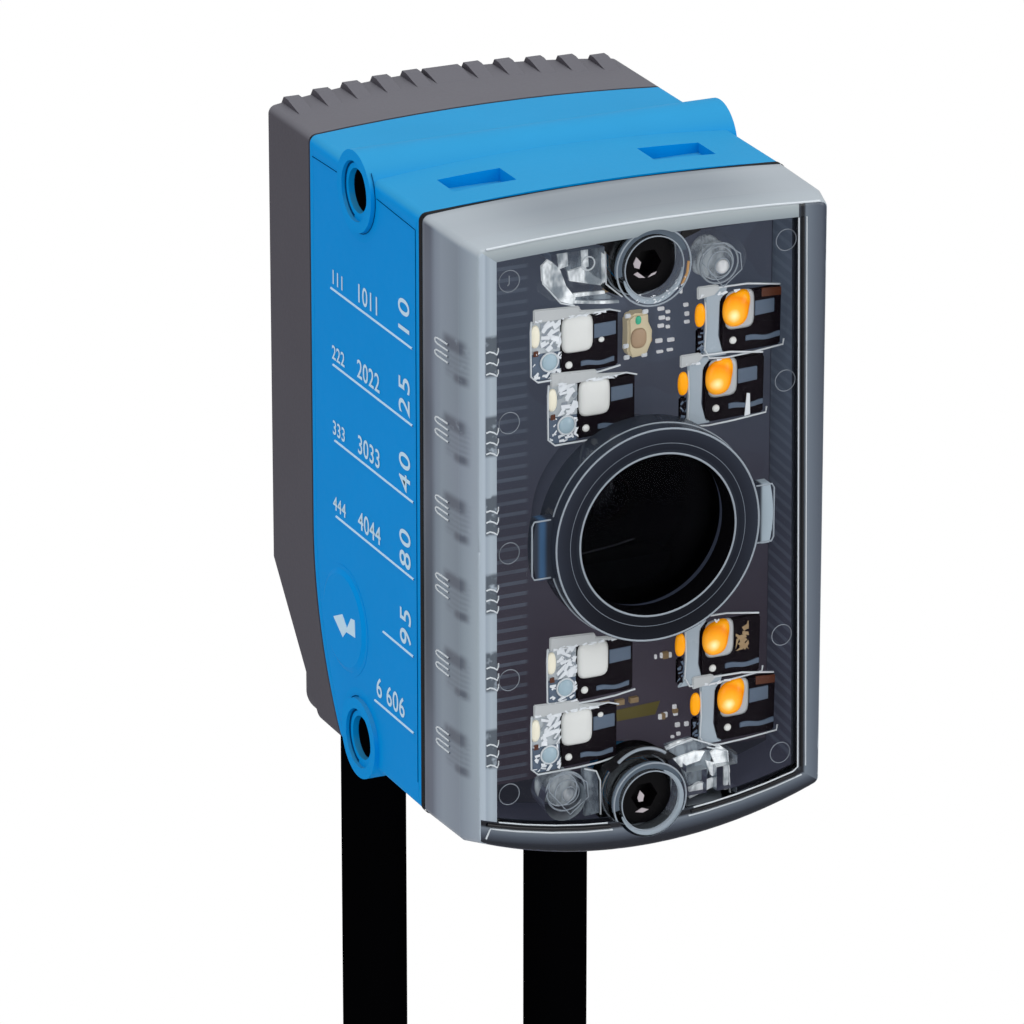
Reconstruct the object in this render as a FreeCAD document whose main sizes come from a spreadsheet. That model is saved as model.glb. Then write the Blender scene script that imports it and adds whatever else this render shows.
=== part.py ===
"""Machine vision camera with a clear lighting hood, a finned rear cover and a swivel cable unit.

Millimetres, +Z up. The origin lies midway between the two threaded bosses of the left side,
on their mounting face. The camera looks along -Y, and its width runs along +X.
"""

import FreeCAD, Part
import math
import os
import re
import Sketcher

from FreeCAD import Rotation, Vector

doc = FreeCAD.newDocument("VisionCamera")

# Driving sizes. Every other size and place is worked out from these.
SIZES = {
    # outline of the camera seen from the front
    "body_width": 43,
    "side_half": 34.3,
    "top_crown": 0.9,
    "bottom_crown": 3.9,
    "corner_radius": 0.9,
    # threaded bosses on both sides
    "boss_proud": 0.5,
    "boss_radius": 4.6,
    "boss_inset": 2.3,
    "boss_from_seam": 13.2,
    "mount_radius": 2.5,
    "mount_sink": 0.45,
    "mount_ledge": 0.9,
    # depth of the shells, from the hood back to the rear cover
    "hood_depth": 12.2,
    "front_seal_thickness": 0.8,
    "body_depth": 29.5,
    "rear_seal_thickness": 0.4,
    "cover_depth": 11.3,
    "back_crown": 2.0,
    "wall": 2.2,
    # seam between housing and cover, and the slanted rear face
    "seam_bend_rise": 23.3,
    "seam_bend_radius": 40,
    "slant_rise": 15.2,
    "slant_angle": 40,
    # cooling fins
    "fin_side_count": 5,
    "fin_pitch": 3.75,
    "fin_width": 1.8,
    "fin_height": 0.7,
    "fin_run": 5.5,
    # clear hood
    "hood_wall": 1.65,
    "hood_side_wall": 2,
    "hood_shoulder": 3.2,
    "hood_draft": 0.2,
    "hood_taper": 1,
    "hood_bottom_rise": 0.9,
    "hood_rim_round": 0.5,
    "screw_inset": 3.6,
    "screw_middle": -1.4,
    "collar_radius": 4.4,
    "screw_head_radius": 3.2,
    "screw_head_height": 3,
    "screw_shank_radius": 1.5,
    # optics
    "axis_height": -0.6,
    "ring_outer": 12.2,
    "ring_inner": 9.1,
    "ring_proud": 1.4,
    "lug_reach": 14.3,
    "lug_width": 6.9,
    "ring_depth": 1.4,
    "seat_wall": 0.8,
    "window_thickness": 1,
    "tube_wall": 0.9,
    "aperture_radius": 2.6,
    "aperture_depth": 10.5,
    "barrel_radius": 6.5,
    "barrel_length": 13.5,
    "holder_flange": 23,
    "holder_frame": 20,
    "holder_thickness": 2,
    "sensor_gap": 1.6,
    # lighting
    "light_board_depth": 8.6,
    "board_thickness": 1.2,
    "lens_block_width": 9,
    "lens_block_height": 7.3,
    "lens_block_depth": 3.1,
    "lens_pad_width": 5,
    "lens_pad_height": 3.8,
    "light_shift": 1.8,
    "light_column_in": 7.8,
    "light_column_out": 9.7,
    "light_row_near": 14.9,
    "light_row_far": 22.4,
    "led_size": 3.4,
    "led_thickness": 0.9,
    "aiming_inset": 13.7,
    "chip_length": 1,
    "chip_height": 0.5,
    "cable_window_low": -24,
    "pillar_radius": 3.4,
    "light_board_side_gap": 3.3,
    "light_board_top_gap": 4.8,
    "foot_size": 2.6,
    "foot_inset": 1.4,
    # status lights along the left wall
    "status_count": 6,
    "status_top": 20.2,
    "status_pitch": 8.95,
    # label panel and function button
    "panel_thickness": 0.35,
    "panel_margin": 0.8,
    "panel_top_gap": 1.2,
    "panel_bottom_gap": 0.6,
    "button_radius": 6,
    "button_gap": 0.2,
    "button_proud": 0.3,
    "button_travel": 0.4,
    "button_thickness": 0.6,
    "button_inset": 8.6,
    "button_rise": 14.7,
    "stem_radius": 1.8,
    # slots for sliding nuts on the top
    "slot_width": 7.4,
    "slot_length": 4.4,
    "slot_depth": 1.6,
    "slot_offset": 11.9,
    "slot_setback": 4.2,
    # boards behind the optics
    "sensor_board_size": 32,
    "sensor_size": 8.4,
    "main_board_width": 28,
    "main_board_side_gap": 6.1,
    "main_board_setback": 4.5,
    "spacer_radius": 2,
    "spacer_edge": 2.2,
    "processor_size": 14,
    "processor_thickness": 1.6,
    "cover_screw_inset": 9.3,
    "cover_screw_rise": 10.9,
    "cover_screw_radius": 1.5,
    "post_radius": 2.6,
    "post_length": 8,
    # swivel cable unit
    "swivel_width": 36,
    "swivel_reach": 9,
    "swivel_half_length": 10,
    "swivel_gap": 0.3,
    "swivel_axis_along": 12,
    "swivel_drop": 4.3,
    "swivel_corner": 2.6,
    "spigot_radius": 9.5,
    "clip_thickness": 1,
    "grommet_radius": 5,
    "grommet_length": 6.4,
    "cable_radius": 3.75,
    "cable_half_spacing": 11.5,
    "cable_inset": 6.2,
    "cable_length": 200,
    # round plugs on the cable ends
    "plug_radius": 6.6,
    "plug_length": 26,
    "coupling_radius": 7.4,
    "coupling_length": 13,
    "contact_radius": 0.5,
    "flange_drop": 6.5,
    "pin_recess": 4.5,
}

sheet = doc.addObject("Spreadsheet::Sheet", "Sheet")
for row, (size_name, size) in enumerate(SIZES.items(), start=1):
    sheet.set(f"A{row}", size_name)
    sheet.set(f"B{row}", str(size))
    sheet.setAlias(f"B{row}", size_name)
doc.recompute()

# Places and sizes that follow from the driving ones.
DERIVED = {
    "mid": "boss_proud + body_width / 2",
    "half_width": "body_width / 2",
    "boss_half_spacing": "side_half - boss_inset",
    "seam_bend_height": "seam_bend_rise - side_half",
    "slant_height": "slant_rise - side_half",
    "screw_half_spacing": "side_half - screw_inset",
    "aiming_height": "side_half - aiming_inset",
    "panel_top": "side_half - panel_top_gap",
    "panel_bottom": "panel_bottom_gap - side_half",
    "button_height": "button_rise - side_half",
    "cover_screw_x": "half_width - wall - post_radius + 0.3",
    "cover_screw_top": "side_half - cover_screw_inset",
    "cover_screw_bottom": "slant_height + cover_screw_rise",
    "swivel_bottom": "-side_half - swivel_drop",
    "body_front": "boss_from_seam - body_depth",
    "hood_back": "body_front - front_seal_thickness",
    "hood_front": "hood_back - hood_depth",
    "body_back": "body_front + body_depth",
    "cover_front": "body_back + rear_seal_thickness",
    "cover_back": "cover_front + cover_depth",
    "floor_reach": "side_half + bottom_crown + 2",
    "slant_cos": "cos(slant_angle * 1 deg)",
    "slant_sin": "sin(slant_angle * 1 deg)",
    "axis_y": "cover_back - swivel_axis_along * slant_sin",
    "axis_z": "slant_height - swivel_axis_along * slant_cos",
    "swivel_back": "axis_y + swivel_reach",
    "cable_y": "swivel_back - cable_inset",
    "cable_top": "swivel_bottom + 0.6",
    "plug_top": "cable_top - cable_length",
    "hood_inside": "hood_front + hood_wall",
    "light_board_front": "hood_front + light_board_depth",
    "light_board_back": "light_board_front + board_thickness",
    "wall_back": "body_front + wall",
    "aperture_y": "hood_front + aperture_depth",
    "tube_outer": "ring_inner + tube_wall",
    "barrel_back": "aperture_y + barrel_length",
    "ring_back": "hood_inside + ring_depth",
    "seat_radius": "ring_outer + seat_wall",
    "lens_front": "hood_inside + 0.1",
    "sensor_board_front": "barrel_back + sensor_gap",
    "sensor_board_back": "sensor_board_front + board_thickness",
    "main_board_front": "body_back - main_board_setback",
    "board_gap": "main_board_front - sensor_board_back",
    "processor_back": "main_board_back + processor_thickness",
    "light_board_side": "half_width - light_board_side_gap",
    "light_board_top": "side_half - light_board_top_gap",
    "light_board_bottom": "light_board_side_gap - side_half",
    "grommet_top": "swivel_bottom + grommet_length + 0.6",
    "main_board_back": "main_board_front + board_thickness",
    "head_seat": "hood_inside + screw_head_height",
    "pillar_top": "light_board_front - 1",
    "coupling_top": "plug_top - plug_length",
    "button_y": "body_back - button_inset",
    "button_pocket": "button_thickness + button_travel + 0.1",
    "stem_end": "boss_proud + wall + 0.2",
    "switch_start": "stem_end + button_travel + 0.1",
}
WORDS = re.compile(r"(?<![\w.])[a-z][a-z_]+(?![\w(])")


def full(text):
    """An expression with the derived names worked out and the sheet's cells named in full."""

    def spell(found):
        word = found.group()
        if word in DERIVED:
            return "(" + full(DERIVED[word]) + ")"
        return "Sheet." + word if word in SIZES else word

    return WORDS.sub(spell, str(text))


def value(text):
    """The number that an expression gives with the present sizes."""
    return float(sheet.evalExpression(full(text)))


nodes = {}


def keep(node_name, solid):
    """Names a finished piece. Its label names its file."""
    solid.Label = node_name
    nodes[node_name] = solid
    return solid


def put(item, x="0", y="0", z="0"):
    for axis, place in zip("xyz", (x, y, z)):
        item.setExpression("Placement.Base." + axis, full(place))
    return item


def box(x, y, z, width, depth, height):
    """A block from its low corner."""
    item = doc.addObject("Part::Box", "Block")
    item.setExpression("Length", full(width))
    item.setExpression("Width", full(depth))
    item.setExpression("Height", full(height))
    return put(item, x, y, z)


TURNS = {
    "x": Rotation(Vector(0, 1, 0), 90),
    "y": Rotation(Vector(1, 0, 0), -90),
    "z": Rotation(),
    "-z": Rotation(Vector(1, 0, 0), 180),
    "slant": Rotation(Vector(1, 0, 0), -90 - value("slant_angle")),
}


def rod(x, y, z, radius, length, along="y", end_radius=None):
    """A cylinder, or a cone with another radius at its far end, from the centre of its near end."""
    item = doc.addObject("Part::Cone" if end_radius else "Part::Cylinder", "Rod")
    item.Placement.Rotation = TURNS[along]
    if end_radius:
        item.setExpression("Radius1", full(radius))
        item.setExpression("Radius2", full(end_radius))
    else:
        item.setExpression("Radius", full(radius))
    item.setExpression("Height", full(length))
    return put(item, x, y, z)


def fuse(*parts):
    item = doc.addObject("Part::MultiFuse", "Fused")
    item.Shapes = list(parts)
    item.Refine = True
    return item


def cut(base, *tools):
    item = doc.addObject("Part::Cut", "Cut")
    item.Base = base
    item.Tool = tools[0] if len(tools) == 1 else fuse(*tools)
    item.Refine = True
    return item


def common(*parts):
    item = doc.addObject("Part::MultiCommon", "Shared")
    item.Shapes = list(parts)
    item.Refine = True
    return item


def group(*parts):
    """Like pieces in one node, each a solid of its own."""
    item = doc.addObject("Part::Compound", "Group")
    item.Links = list(parts)
    return item


def ring(x, y, z, outer, inner, length, along="y"):
    """A tube. The bore runs the whole length."""
    return cut(rod(x, y, z, outer, length, along), rod(x, y, z, inner, length, along))


PLANES = {
    "front": Rotation(Vector(1, 0, 0), Vector(0, 0, 1), Vector(0, -1, 0), "ZXY"),
    "side": Rotation(Vector(0, 1, 0), Vector(0, 0, 1), Vector(1, 0, 0), "ZXY"),
    "top": Rotation(),
}


def sketch(plane, corners, at="0"):
    """A closed outline. Each corner is (u, v), or (u, v, radius) when an arc leads to the next one.

    A positive radius bulges to the right of the way round, a negative one to the left.
    """
    item = doc.addObject("Sketcher::SketchObject", "Outline")
    item.Placement.Rotation = PLANES[plane]
    put(item, **{{"front": "y", "side": "x", "top": "z"}[plane]: at})
    places = [Vector(value(c[0]), value(c[1]), 0) for c in corners]
    starts, ends = [], []
    for number, corner in enumerate(corners):
        here, there = places[number], places[(number + 1) % len(places)]
        if len(corner) == 2:
            item.addGeometry(Part.LineSegment(here, there), False)
            starts.append(1)
            ends.append(2)
            continue
        radius = value(corner[2])
        chord = there - here
        sagitta = abs(radius) - math.sqrt(radius**2 - (chord.Length / 2) ** 2)
        side = Vector(chord.y, -chord.x, 0).normalize() * math.copysign(sagitta, radius)
        arc = Part.Arc(here, (here + there) / 2 + side, there)
        item.addGeometry(arc, False)
        starts.append(1 if radius > 0 else 2)
        ends.append(2 if radius > 0 else 1)
    count = len(corners)
    constraint = Sketcher.Constraint
    for number, corner in enumerate(corners):
        after = (number + 1) % count
        item.addConstraint(
            constraint("Coincident", number, ends[number], after, starts[after])
        )
    for number, corner in enumerate(corners):
        for kind, text in zip(("DistanceX", "DistanceY"), corner):
            made = item.addConstraint(
                constraint(kind, -1, 1, number, starts[number], value(text))
            )
            item.setExpression(f"Constraints[{made}]", full(text))
        if len(corner) == 3:
            radius = f"abs({corner[2]})"
            made = item.addConstraint(constraint("Radius", number, value(radius)))
            item.setExpression(f"Constraints[{made}]", full(radius))
    return item


def extrude(plane, corners, at, length, both_ways=False):
    """A closed outline drawn out along +Y, +X or +Z from its plane."""
    item = doc.addObject("Part::Extrusion", "Drawn")
    item.Base = sketch(plane, corners, at)
    item.DirMode = "Normal"
    item.Solid = True
    item.Reversed = plane == "front"
    item.Symmetric = both_ways
    item.setExpression("LengthFwd", full(length))
    return item


def loft(*sections):
    item = doc.addObject("Part::Loft", "Tapered")
    item.Sections = list(sections)
    item.Solid = True
    item.Ruled = True
    return item


def round_edges(base, radius, chosen):
    """Rounds the edges for which chosen(edge) is true."""
    doc.recompute()
    item = doc.addObject("Part::Fillet", "Rounded")
    item.Base = base
    size = value(radius)
    edges = enumerate(base.Shape.Edges, start=1)
    item.Edges = [(number, size, size) for number, edge in edges if chosen(edge)]
    return item


def runs_along(edge, axis):
    """Whether an edge is a straight one that runs mostly along an axis."""
    first, last = edge.Vertexes[0].Point, edge.Vertexes[-1].Point
    reach = last - first
    return edge.Length > 1 and abs(getattr(reach, axis)) > 0.9 * edge.Length


# ---- outlines shared by the shells ----------------------------------------------------------


def front_outline(inset):
    """The camera's outline from the front: straight sides, with a crowned top and bottom."""
    half = f"(half_width - ({inset}))"
    top = f"(side_half - ({inset}))"
    top_arc = f"({half} ^ 2 + top_crown ^ 2) / (2 * top_crown)"
    bottom_arc = f"({half} ^ 2 + bottom_crown ^ 2) / (2 * bottom_crown)"
    return [
        (f"mid - {half}", f"-{top}", bottom_arc),
        (f"mid + {half}", f"-{top}"),
        (f"mid + {half}", top, top_arc),
        (f"mid - {half}", top),
    ]


def outline_block(start, length, inset="0"):
    return extrude("front", front_outline(inset), start, length)


def seam_end(offset):
    """How far back the curved seam lies at the very bottom, offset behind the housing's edge."""
    radius = f"(seam_bend_radius + ({offset}))"
    drop = f"({radius} - sqrt({radius} ^ 2 - (floor_reach + seam_bend_height) ^ 2))"
    return f"body_back + ({offset}) - {drop}"


def seam_line(offset):
    """The two lowest corners of a side profile whose back edge follows the seam."""
    radius = f"(seam_bend_radius + ({offset}))"
    return (seam_end(offset), "-floor_reach", radius), (
        f"body_back + ({offset})",
        "seam_bend_height",
    )


def bosses(radius, length, start="0"):
    """Two rods across the width on the axes of the threaded bosses, which join both sides."""
    heights = ("boss_half_spacing", "-boss_half_spacing")
    return [rod(start, "0", height, radius, length, "x") for height in heights]


def slanted(along, gap):
    """A point of the slanted rear face: along it from the swivel axis, and gap outside it."""
    y = f"axis_y + ({along}) * slant_sin + ({gap}) * slant_cos"
    z = f"axis_z + ({along}) * slant_cos - ({gap}) * slant_sin"
    return y, z


# ---- main housing -----------------------------------------------------------------------------


def make_housing():
    shell = outline_block("body_front", "body_depth")
    shell = round_edges(shell, "corner_radius", lambda edge: runs_along(edge, "y"))
    low, bend = seam_line("0")
    side = [
        ("body_front - 1", "-floor_reach"),
        low,
        bend,
        ("body_back", "floor_reach"),
        ("body_front - 1", "floor_reach"),
    ]
    across = "2 * mid"
    profile = extrude("side", side, "0", across)
    hollow = outline_block("wall_back", "body_depth + 5", "wall")
    shell = cut(common(shell, profile), hollow)
    pillars = [
        rod("mid", "pillar_top", z, "pillar_radius", "wall_back - pillar_top")
        for z in hood_screw_heights()
    ]
    foot_length = "wall_back - light_board_back"
    feet = [
        box(x, "light_board_back", z, "foot_size", foot_length, "foot_size")
        for x in (
            "mid + light_board_side - foot_inset - foot_size",
            "mid - light_board_side + foot_inset",
        )
        for z in ("light_board_top - foot_size", "light_board_bottom + foot_inset")
    ]
    post_start = "(body_back - post_length)"
    posts = [
        cut(
            box(
                f"{x} - post_radius",
                post_start,
                f"{z} - post_radius",
                "2 * post_radius",
                "post_length",
                "2 * post_radius",
            ),
            rod(x, f"{post_start} + 1", z, "cover_screw_radius", "post_length"),
        )
        for x, z in cover_screw_places()
    ]
    whole = fuse(shell, *bosses("boss_radius", across), *pillars, *feet)
    holes = [
        rod("mid", "body_front - 1", "axis_height", "tube_outer + 0.3", "wall + 3"),
        *[
            rod("mid", "pillar_top - 1", z, "screw_shank_radius", "12")
            for z in hood_screw_heights()
        ],
        *bosses("mount_radius", across),
        cable_window(),
        *mount_sinks(),
        *nut_slots(),
        panel_block("panel_thickness", "boss_proud"),
        on_button("boss_proud", "button_radius + button_gap", "button_pocket"),
        on_button("boss_proud", "stem_radius + button_gap", "wall + 2"),
    ]
    return keep("main_housing", fuse(cut(whole, *holes), *posts, *switch_cradle()))


def on_button(start, radius, length, end_radius=None):
    """A rod on the function button's axis."""
    return rod(start, "button_y", "button_height", radius, length, "x", end_radius)


def switch_cradle():
    """Two ribs inside the left wall that carry the button's switch by its base."""
    inner = "(boss_proud + wall - 0.2)"
    reach = f"switch_start + 2.6 - {inner}"
    low = "button_height - 3"
    return [
        box(inner, f"button_y {side}", low, reach, "0.8", "6") for side in ("- 3.8", "+ 3")
    ]


def hood_screw_heights():
    return ("(screw_middle + screw_half_spacing)", "(screw_middle - screw_half_spacing)")


def cover_screw_places():
    xs = ("mid - cover_screw_x", "mid + cover_screw_x")
    return [(x, z) for x in xs for z in ("cover_screw_top", "cover_screw_bottom")]


def cable_window():
    """The opening in the front wall that the lighting board's plug reaches through."""
    return box("mid - 6", "body_front - 1", "cable_window_low", "12", "wall + 2", "5")


def mount_sinks():
    """The shallow flat counterbores at the mouths of the threaded holes."""
    wide = "mount_radius + mount_ledge"
    right = "2 * mid - mount_sink"
    return bosses(wide, "mount_sink") + bosses(wide, "mount_sink", right)


def nut_slots():
    """Two short slots in the top for sliding nuts."""
    left = "mid - slot_width / 2"
    low = "side_half + top_crown - slot_depth"
    front = "body_front + slot_setback"
    return [
        box(f"{left} {sign} slot_offset", front, low, "slot_width", "slot_length", "5")
        for sign in "-+"
    ]


def panel_block(thickness, at, gap="0"):
    """The label panel's plate on the left side, cleared round both bosses."""
    margin = f"panel_margin + {gap}"
    bend = seam_line(f"-({margin})")[1]
    radius = f"(seam_bend_radius - ({margin}))"
    drop = f"sqrt({radius} ^ 2 - (panel_bottom - seam_bend_height) ^ 2)"
    bottom = (f"body_back - ({margin}) - {radius} + {drop}", "panel_bottom", radius)
    corners = [
        (f"body_front + {margin}", "panel_bottom"),
        bottom,
        bend,
        (bend[0], "panel_top"),
        (f"body_front + {margin}", "panel_top"),
    ]
    plate = extrude("side", corners, at, thickness)
    return cut(plate, *bosses("boss_radius + 1.1", "6", "-1"))


# ---- rear cover and its seal ------------------------------------------------------------------


def cover_profile(inset, front_offset, front_margin="0"):
    """The cover from the side: seam in front, flat back, slanted lower face."""
    slant_y = f"cover_back - ({inset})"
    slant_z = f"slant_height + ({inset}) * (1 - slant_cos) / slant_sin"
    foot_y = (
        f"cover_back - (({inset}) + (floor_reach + slant_height) * slant_sin) / slant_cos"
    )
    low, bend = seam_line(front_offset)
    front = [
        (low[0], low[1], low[2]),
        (bend[0], bend[1]),
        (bend[0], "floor_reach"),
    ]
    return front, [
        (slant_y, "floor_reach"),
        (slant_y, slant_z),
        (foot_y, "-floor_reach"),
    ]


def make_rear_cover():
    front, back = cover_profile("0", "rear_seal_thickness")
    profile = extrude("side", front + shifted_back(back), "0", "2 * mid")
    shell = outline_block("body_front", "body_depth + 30")
    shell = round_edges(shell, "corner_radius", lambda edge: runs_along(edge, "y"))
    curve = "(half_width ^ 2 + back_crown ^ 2) / (2 * back_crown)"
    plan = [
        ("mid - half_width", "body_front"),
        ("mid + half_width", "body_front"),
        ("mid + half_width", "cover_back", curve),
        ("mid - half_width", "cover_back"),
    ]
    plan = extrude("top", plan, "-floor_reach", "2 * floor_reach")
    shell = common(shell, profile, plan)
    inner_front = [("body_back - 18", "-floor_reach"), ("body_back - 18", "floor_reach")]
    inner = extrude("side", inner_front + cover_profile("wall", "0")[1], "0", "2 * mid")
    hollow = common(inner, outline_block("body_front", "body_depth + 30", "wall"))
    shell = fuse(cut(shell, hollow), *fins())
    places = cover_screw_places()
    hole = "cover_screw_radius + 0.15"
    through = "cover_depth + back_crown + 4"
    holes = [rod(x, "cover_front - 1", z, hole, through) for x, z in places]
    sinks = [rod(x, "cover_back - 0.9", z, "screw_head_radius", "6") for x, z in places]
    spigot_hole = along_slant("-wall - 2", "spigot_radius + 0.2", "wall + 4")
    sleeves = [rod(x, "cover_front", z, "post_radius", "cover_depth - 2") for x, z in places]
    shell = cut(fuse(shell, *sleeves), *holes, *sinks, spigot_hole)
    return keep("rear_cover", shell)


def shifted_back(back):
    """The back corners moved out to the crown of the rear face."""
    (y, z), (_, slant_z), foot = back
    crown = "back_crown"
    raised = f"({slant_z}) + {crown} * slant_cos / slant_sin"
    return [(f"({y}) + {crown}", z), (f"({y}) + {crown}", raised), foot]


def along_slant(start, radius, length, end_radius=None):
    """A rod on the swivel axis that starts so far outside the slanted face."""
    y, z = slanted("0", start)
    return rod("mid", y, z, radius, length, "slant", end_radius)


def fins():
    """Upright cooling fins that run over the top rear edge. The middle one is wide and low."""
    made = []
    count = int(value("fin_side_count"))
    for number in range(-count, count + 1):
        off = f"({number} * fin_pitch)"
        share = f"(1 - ({off} / half_width) ^ 2)"
        top = f"(side_half + top_crown * {share})"
        back = f"(cover_back + back_crown * {share})"
        wide = "fin_width" if number else "2.4 * fin_width"
        proud = "fin_height" if number else "(0.8 * fin_height)"
        corners = [
            (f"{back} - fin_run", f"{top} - 0.15"),
            (f"{back} - 2", f"{top} - 1.5"),
            (f"{back} - 0.4", "slant_height + 7"),
            (f"{back} - 0.4", "slant_height + 4.5"),
            (f"{back} + {proud}", "slant_height + 6"),
            (f"{back} + {proud}", f"{top} - 0.9"),
            (f"{back} - 0.5", f"{top} + {proud}"),
            (f"{back} - 1.6", f"{top} + {proud}"),
        ]
        made.append(extrude("side", corners, f"mid + {off} - {wide} / 2", wide))
    return made


def make_rear_seal():
    """A flat gasket between housing and cover that follows the curved seam."""
    low, bend = seam_line("0")
    after_low, after_bend = seam_line("rear_seal_thickness")
    band = [
        low,
        bend,
        (bend[0], "floor_reach"),
        (after_bend[0], "floor_reach"),
        (after_bend[0], after_bend[1], "-(seam_bend_radius + rear_seal_thickness)"),
        (after_low[0], after_low[1]),
    ]
    band = extrude("side", band, "0", "2 * mid")
    frame = cut(
        outline_block("body_front", "body_depth + 5", "0.25"),
        outline_block("body_front - 1", "body_depth + 7", "wall"),
    )
    return keep("rear_seal", common(band, frame))


def make_front_seal():
    frame = cut(
        outline_block("hood_back", "front_seal_thickness", "0.3"),
        outline_block("hood_back - 1", "front_seal_thickness + 2", "wall"),
    )
    return keep("front_seal", frame)


# ---- label panel and function button ----------------------------------------------------------

def make_side_panel():
    plate = panel_block("panel_thickness - 0.02", "boss_proud", "0.05")
    return keep("side_panel", cut(plate, on_button("-1", "button_radius + button_gap", "4")))


def make_button():
    """A round key with a slightly domed face and a stem that reaches the switch."""
    face = "boss_proud - button_proud"
    dome = on_button(face, "button_radius - 0.7", "button_proud", "button_radius")
    disc = on_button("boss_proud", "button_radius", "button_thickness")
    stem = on_button("boss_proud", "stem_radius", "stem_end - boss_proud")
    return keep("function_button", fuse(dome, disc, stem))


def make_button_switch():
    """The tactile switch behind the button, on the wall's inside."""
    body = box("switch_start", "button_y - 2.9", "button_height - 3", "2.6", "5.8", "6")
    low_y, low_z = "button_y - 3.6", "button_height - 3.6"
    base = box("switch_start + 2.6", low_y, low_z, "1", "7.2", "7.2")
    return keep("button_switch", fuse(body, base))


# ---- clear hood and window --------------------------------------------------------------------


def hood_outline(at, narrower, rise):
    half = f"(half_width - ({narrower}))"
    low = f"(side_half - ({rise}))"
    top = f"(side_half - 0.4 * ({narrower}))"
    corners = [
        (f"mid - {half}", f"-{low}", f"({half} ^ 2 + bottom_crown ^ 2) / (2 * bottom_crown)"),
        (f"mid + {half}", f"-{low}"),
        (f"mid + {half}", top, f"({half} ^ 2 + top_crown ^ 2) / (2 * top_crown)"),
        (f"mid - {half}", top),
    ]
    return sketch("front", corners, at)


def make_front_hood():
    outer = loft(
        hood_outline("hood_back", "0", "0"),
        hood_outline("hood_front + hood_shoulder", "hood_draft", "hood_draft"),
        hood_outline("hood_front", "hood_taper", "hood_bottom_rise"),
    )
    outer = round_edges(outer, "corner_radius", lambda edge: runs_along(edge, "y"))
    outer = round_edges(outer, "hood_rim_round", is_hood_rim)
    wall = "hood_side_wall"
    hollow = loft(
        hood_outline("hood_back + 1", f"{wall}", f"{wall}"),
        hood_outline("hood_inside", f"hood_taper + {wall}", f"hood_bottom_rise + {wall}"),
    )
    shell = cut(outer, hollow)
    screws = hood_screw_heights()
    reach = "pillar_top - hood_front - 0.05"
    collars = [rod("mid", "hood_front", z, "collar_radius", reach) for z in screws]
    seat_depth = "ring_back - hood_front"
    seat = ring("mid", "hood_front", "axis_height", "seat_radius", "ring_outer - 1", seat_depth)
    solid = fuse(shell, seat, *collars, *board_stops(), *status_prisms())
    ahead = "(hood_front - 3)"
    sunk = f"head_seat - {ahead}"
    heads = [rod("mid", ahead, z, "screw_head_radius + 0.2", sunk) for z in screws]
    shanks = [rod("mid", ahead, z, "screw_shank_radius + 0.2", "20") for z in screws]
    return keep("front_hood", cut(solid, *heads, *shanks, ring_opening("0.08")))


def is_hood_rim(edge):
    """An edge of the hood's front face."""
    return edge.BoundBox.YMax < value("hood_front") + 0.01


def board_stops():
    """Clear stops behind the front wall: a guide post and an I-shaped bracket, top and bottom."""
    start = "hood_inside - 0.3"
    stops = []
    for side, post_x, post_z, bracket_x, bracket_z in (
        ("top", "9.2", "28.4", "-8.2", "26.6"),
        ("bottom", "-9.5", "-30.9", "8.2", "-34.3"),
    ):
        stops.append(rod(f"mid + {post_x}", start, post_z, "2.5", "4.4", "y", "2.2"))
        for rise in ("0", "4"):
            low = f"{bracket_z} + {rise}"
            stops.append(box(f"mid + {bracket_x} - 3.1", start, low, "6.2", "3.8", "1.2"))
        stops.append(box(f"mid + {bracket_x} - 0.6", start, bracket_z, "1.2", "3.8", "5"))
    return stops


def ring_opening(gap):
    """The stepped hole that takes the window ring and its two lugs."""
    bore = rod("mid", "hood_front - 3", "axis_height", f"ring_outer + {gap}", "hood_wall + 4.5")
    lugs = box(
        f"mid - lug_reach - {gap}",
        "hood_front - 3",
        f"axis_height - lug_width / 2 - {gap}",
        f"2 * (lug_reach + {gap})",
        "4.2",
        f"lug_width + 2 * {gap}",
    )
    return fuse(bore, lugs)


def status_prisms():
    """Slanted light wedges inside the left wall, four for each status light."""
    wedges = []
    for number in range(int(value("status_count"))):
        for tooth in range(4):
            low = f"status_top - {number} * status_pitch + {tooth} * 0.75 - 1.4"
            x = "mid - half_width + hood_side_wall + 0.2"
            wedges.append(box(x, "hood_inside + 1.5", low, "1.1", "3.2", "0.45"))
    return wedges


def make_window_ring():
    """The clear ring that holds the window, with a lug on each side."""
    front = "hood_front - ring_proud"
    length = f"ring_back - ({front})"
    body = ring("mid", front, "axis_height", "ring_outer", "ring_inner", length)
    low = "axis_height - lug_width / 2"
    lugs = common(
        box("mid - lug_reach", "hood_front - 0.3", low, "2 * lug_reach", "1.4", "lug_width"),
        ring("mid", "hood_front - 1", "axis_height", "lug_reach", "ring_inner + 0.5", "4"),
    )
    step = rod("mid", "hood_inside", "axis_height", "tube_outer + 0.1", "window_thickness + 3")
    return keep("window_ring", cut(fuse(body, lugs), step))


def make_optical_window():
    """The flat disc that seals the lens opening, seated in the ring."""
    disc = rod("mid", "hood_inside", "axis_height", "tube_outer + 0.05", "window_thickness")
    return keep("optical_window", disc)


# ---- optics -----------------------------------------------------------------------------------


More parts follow.
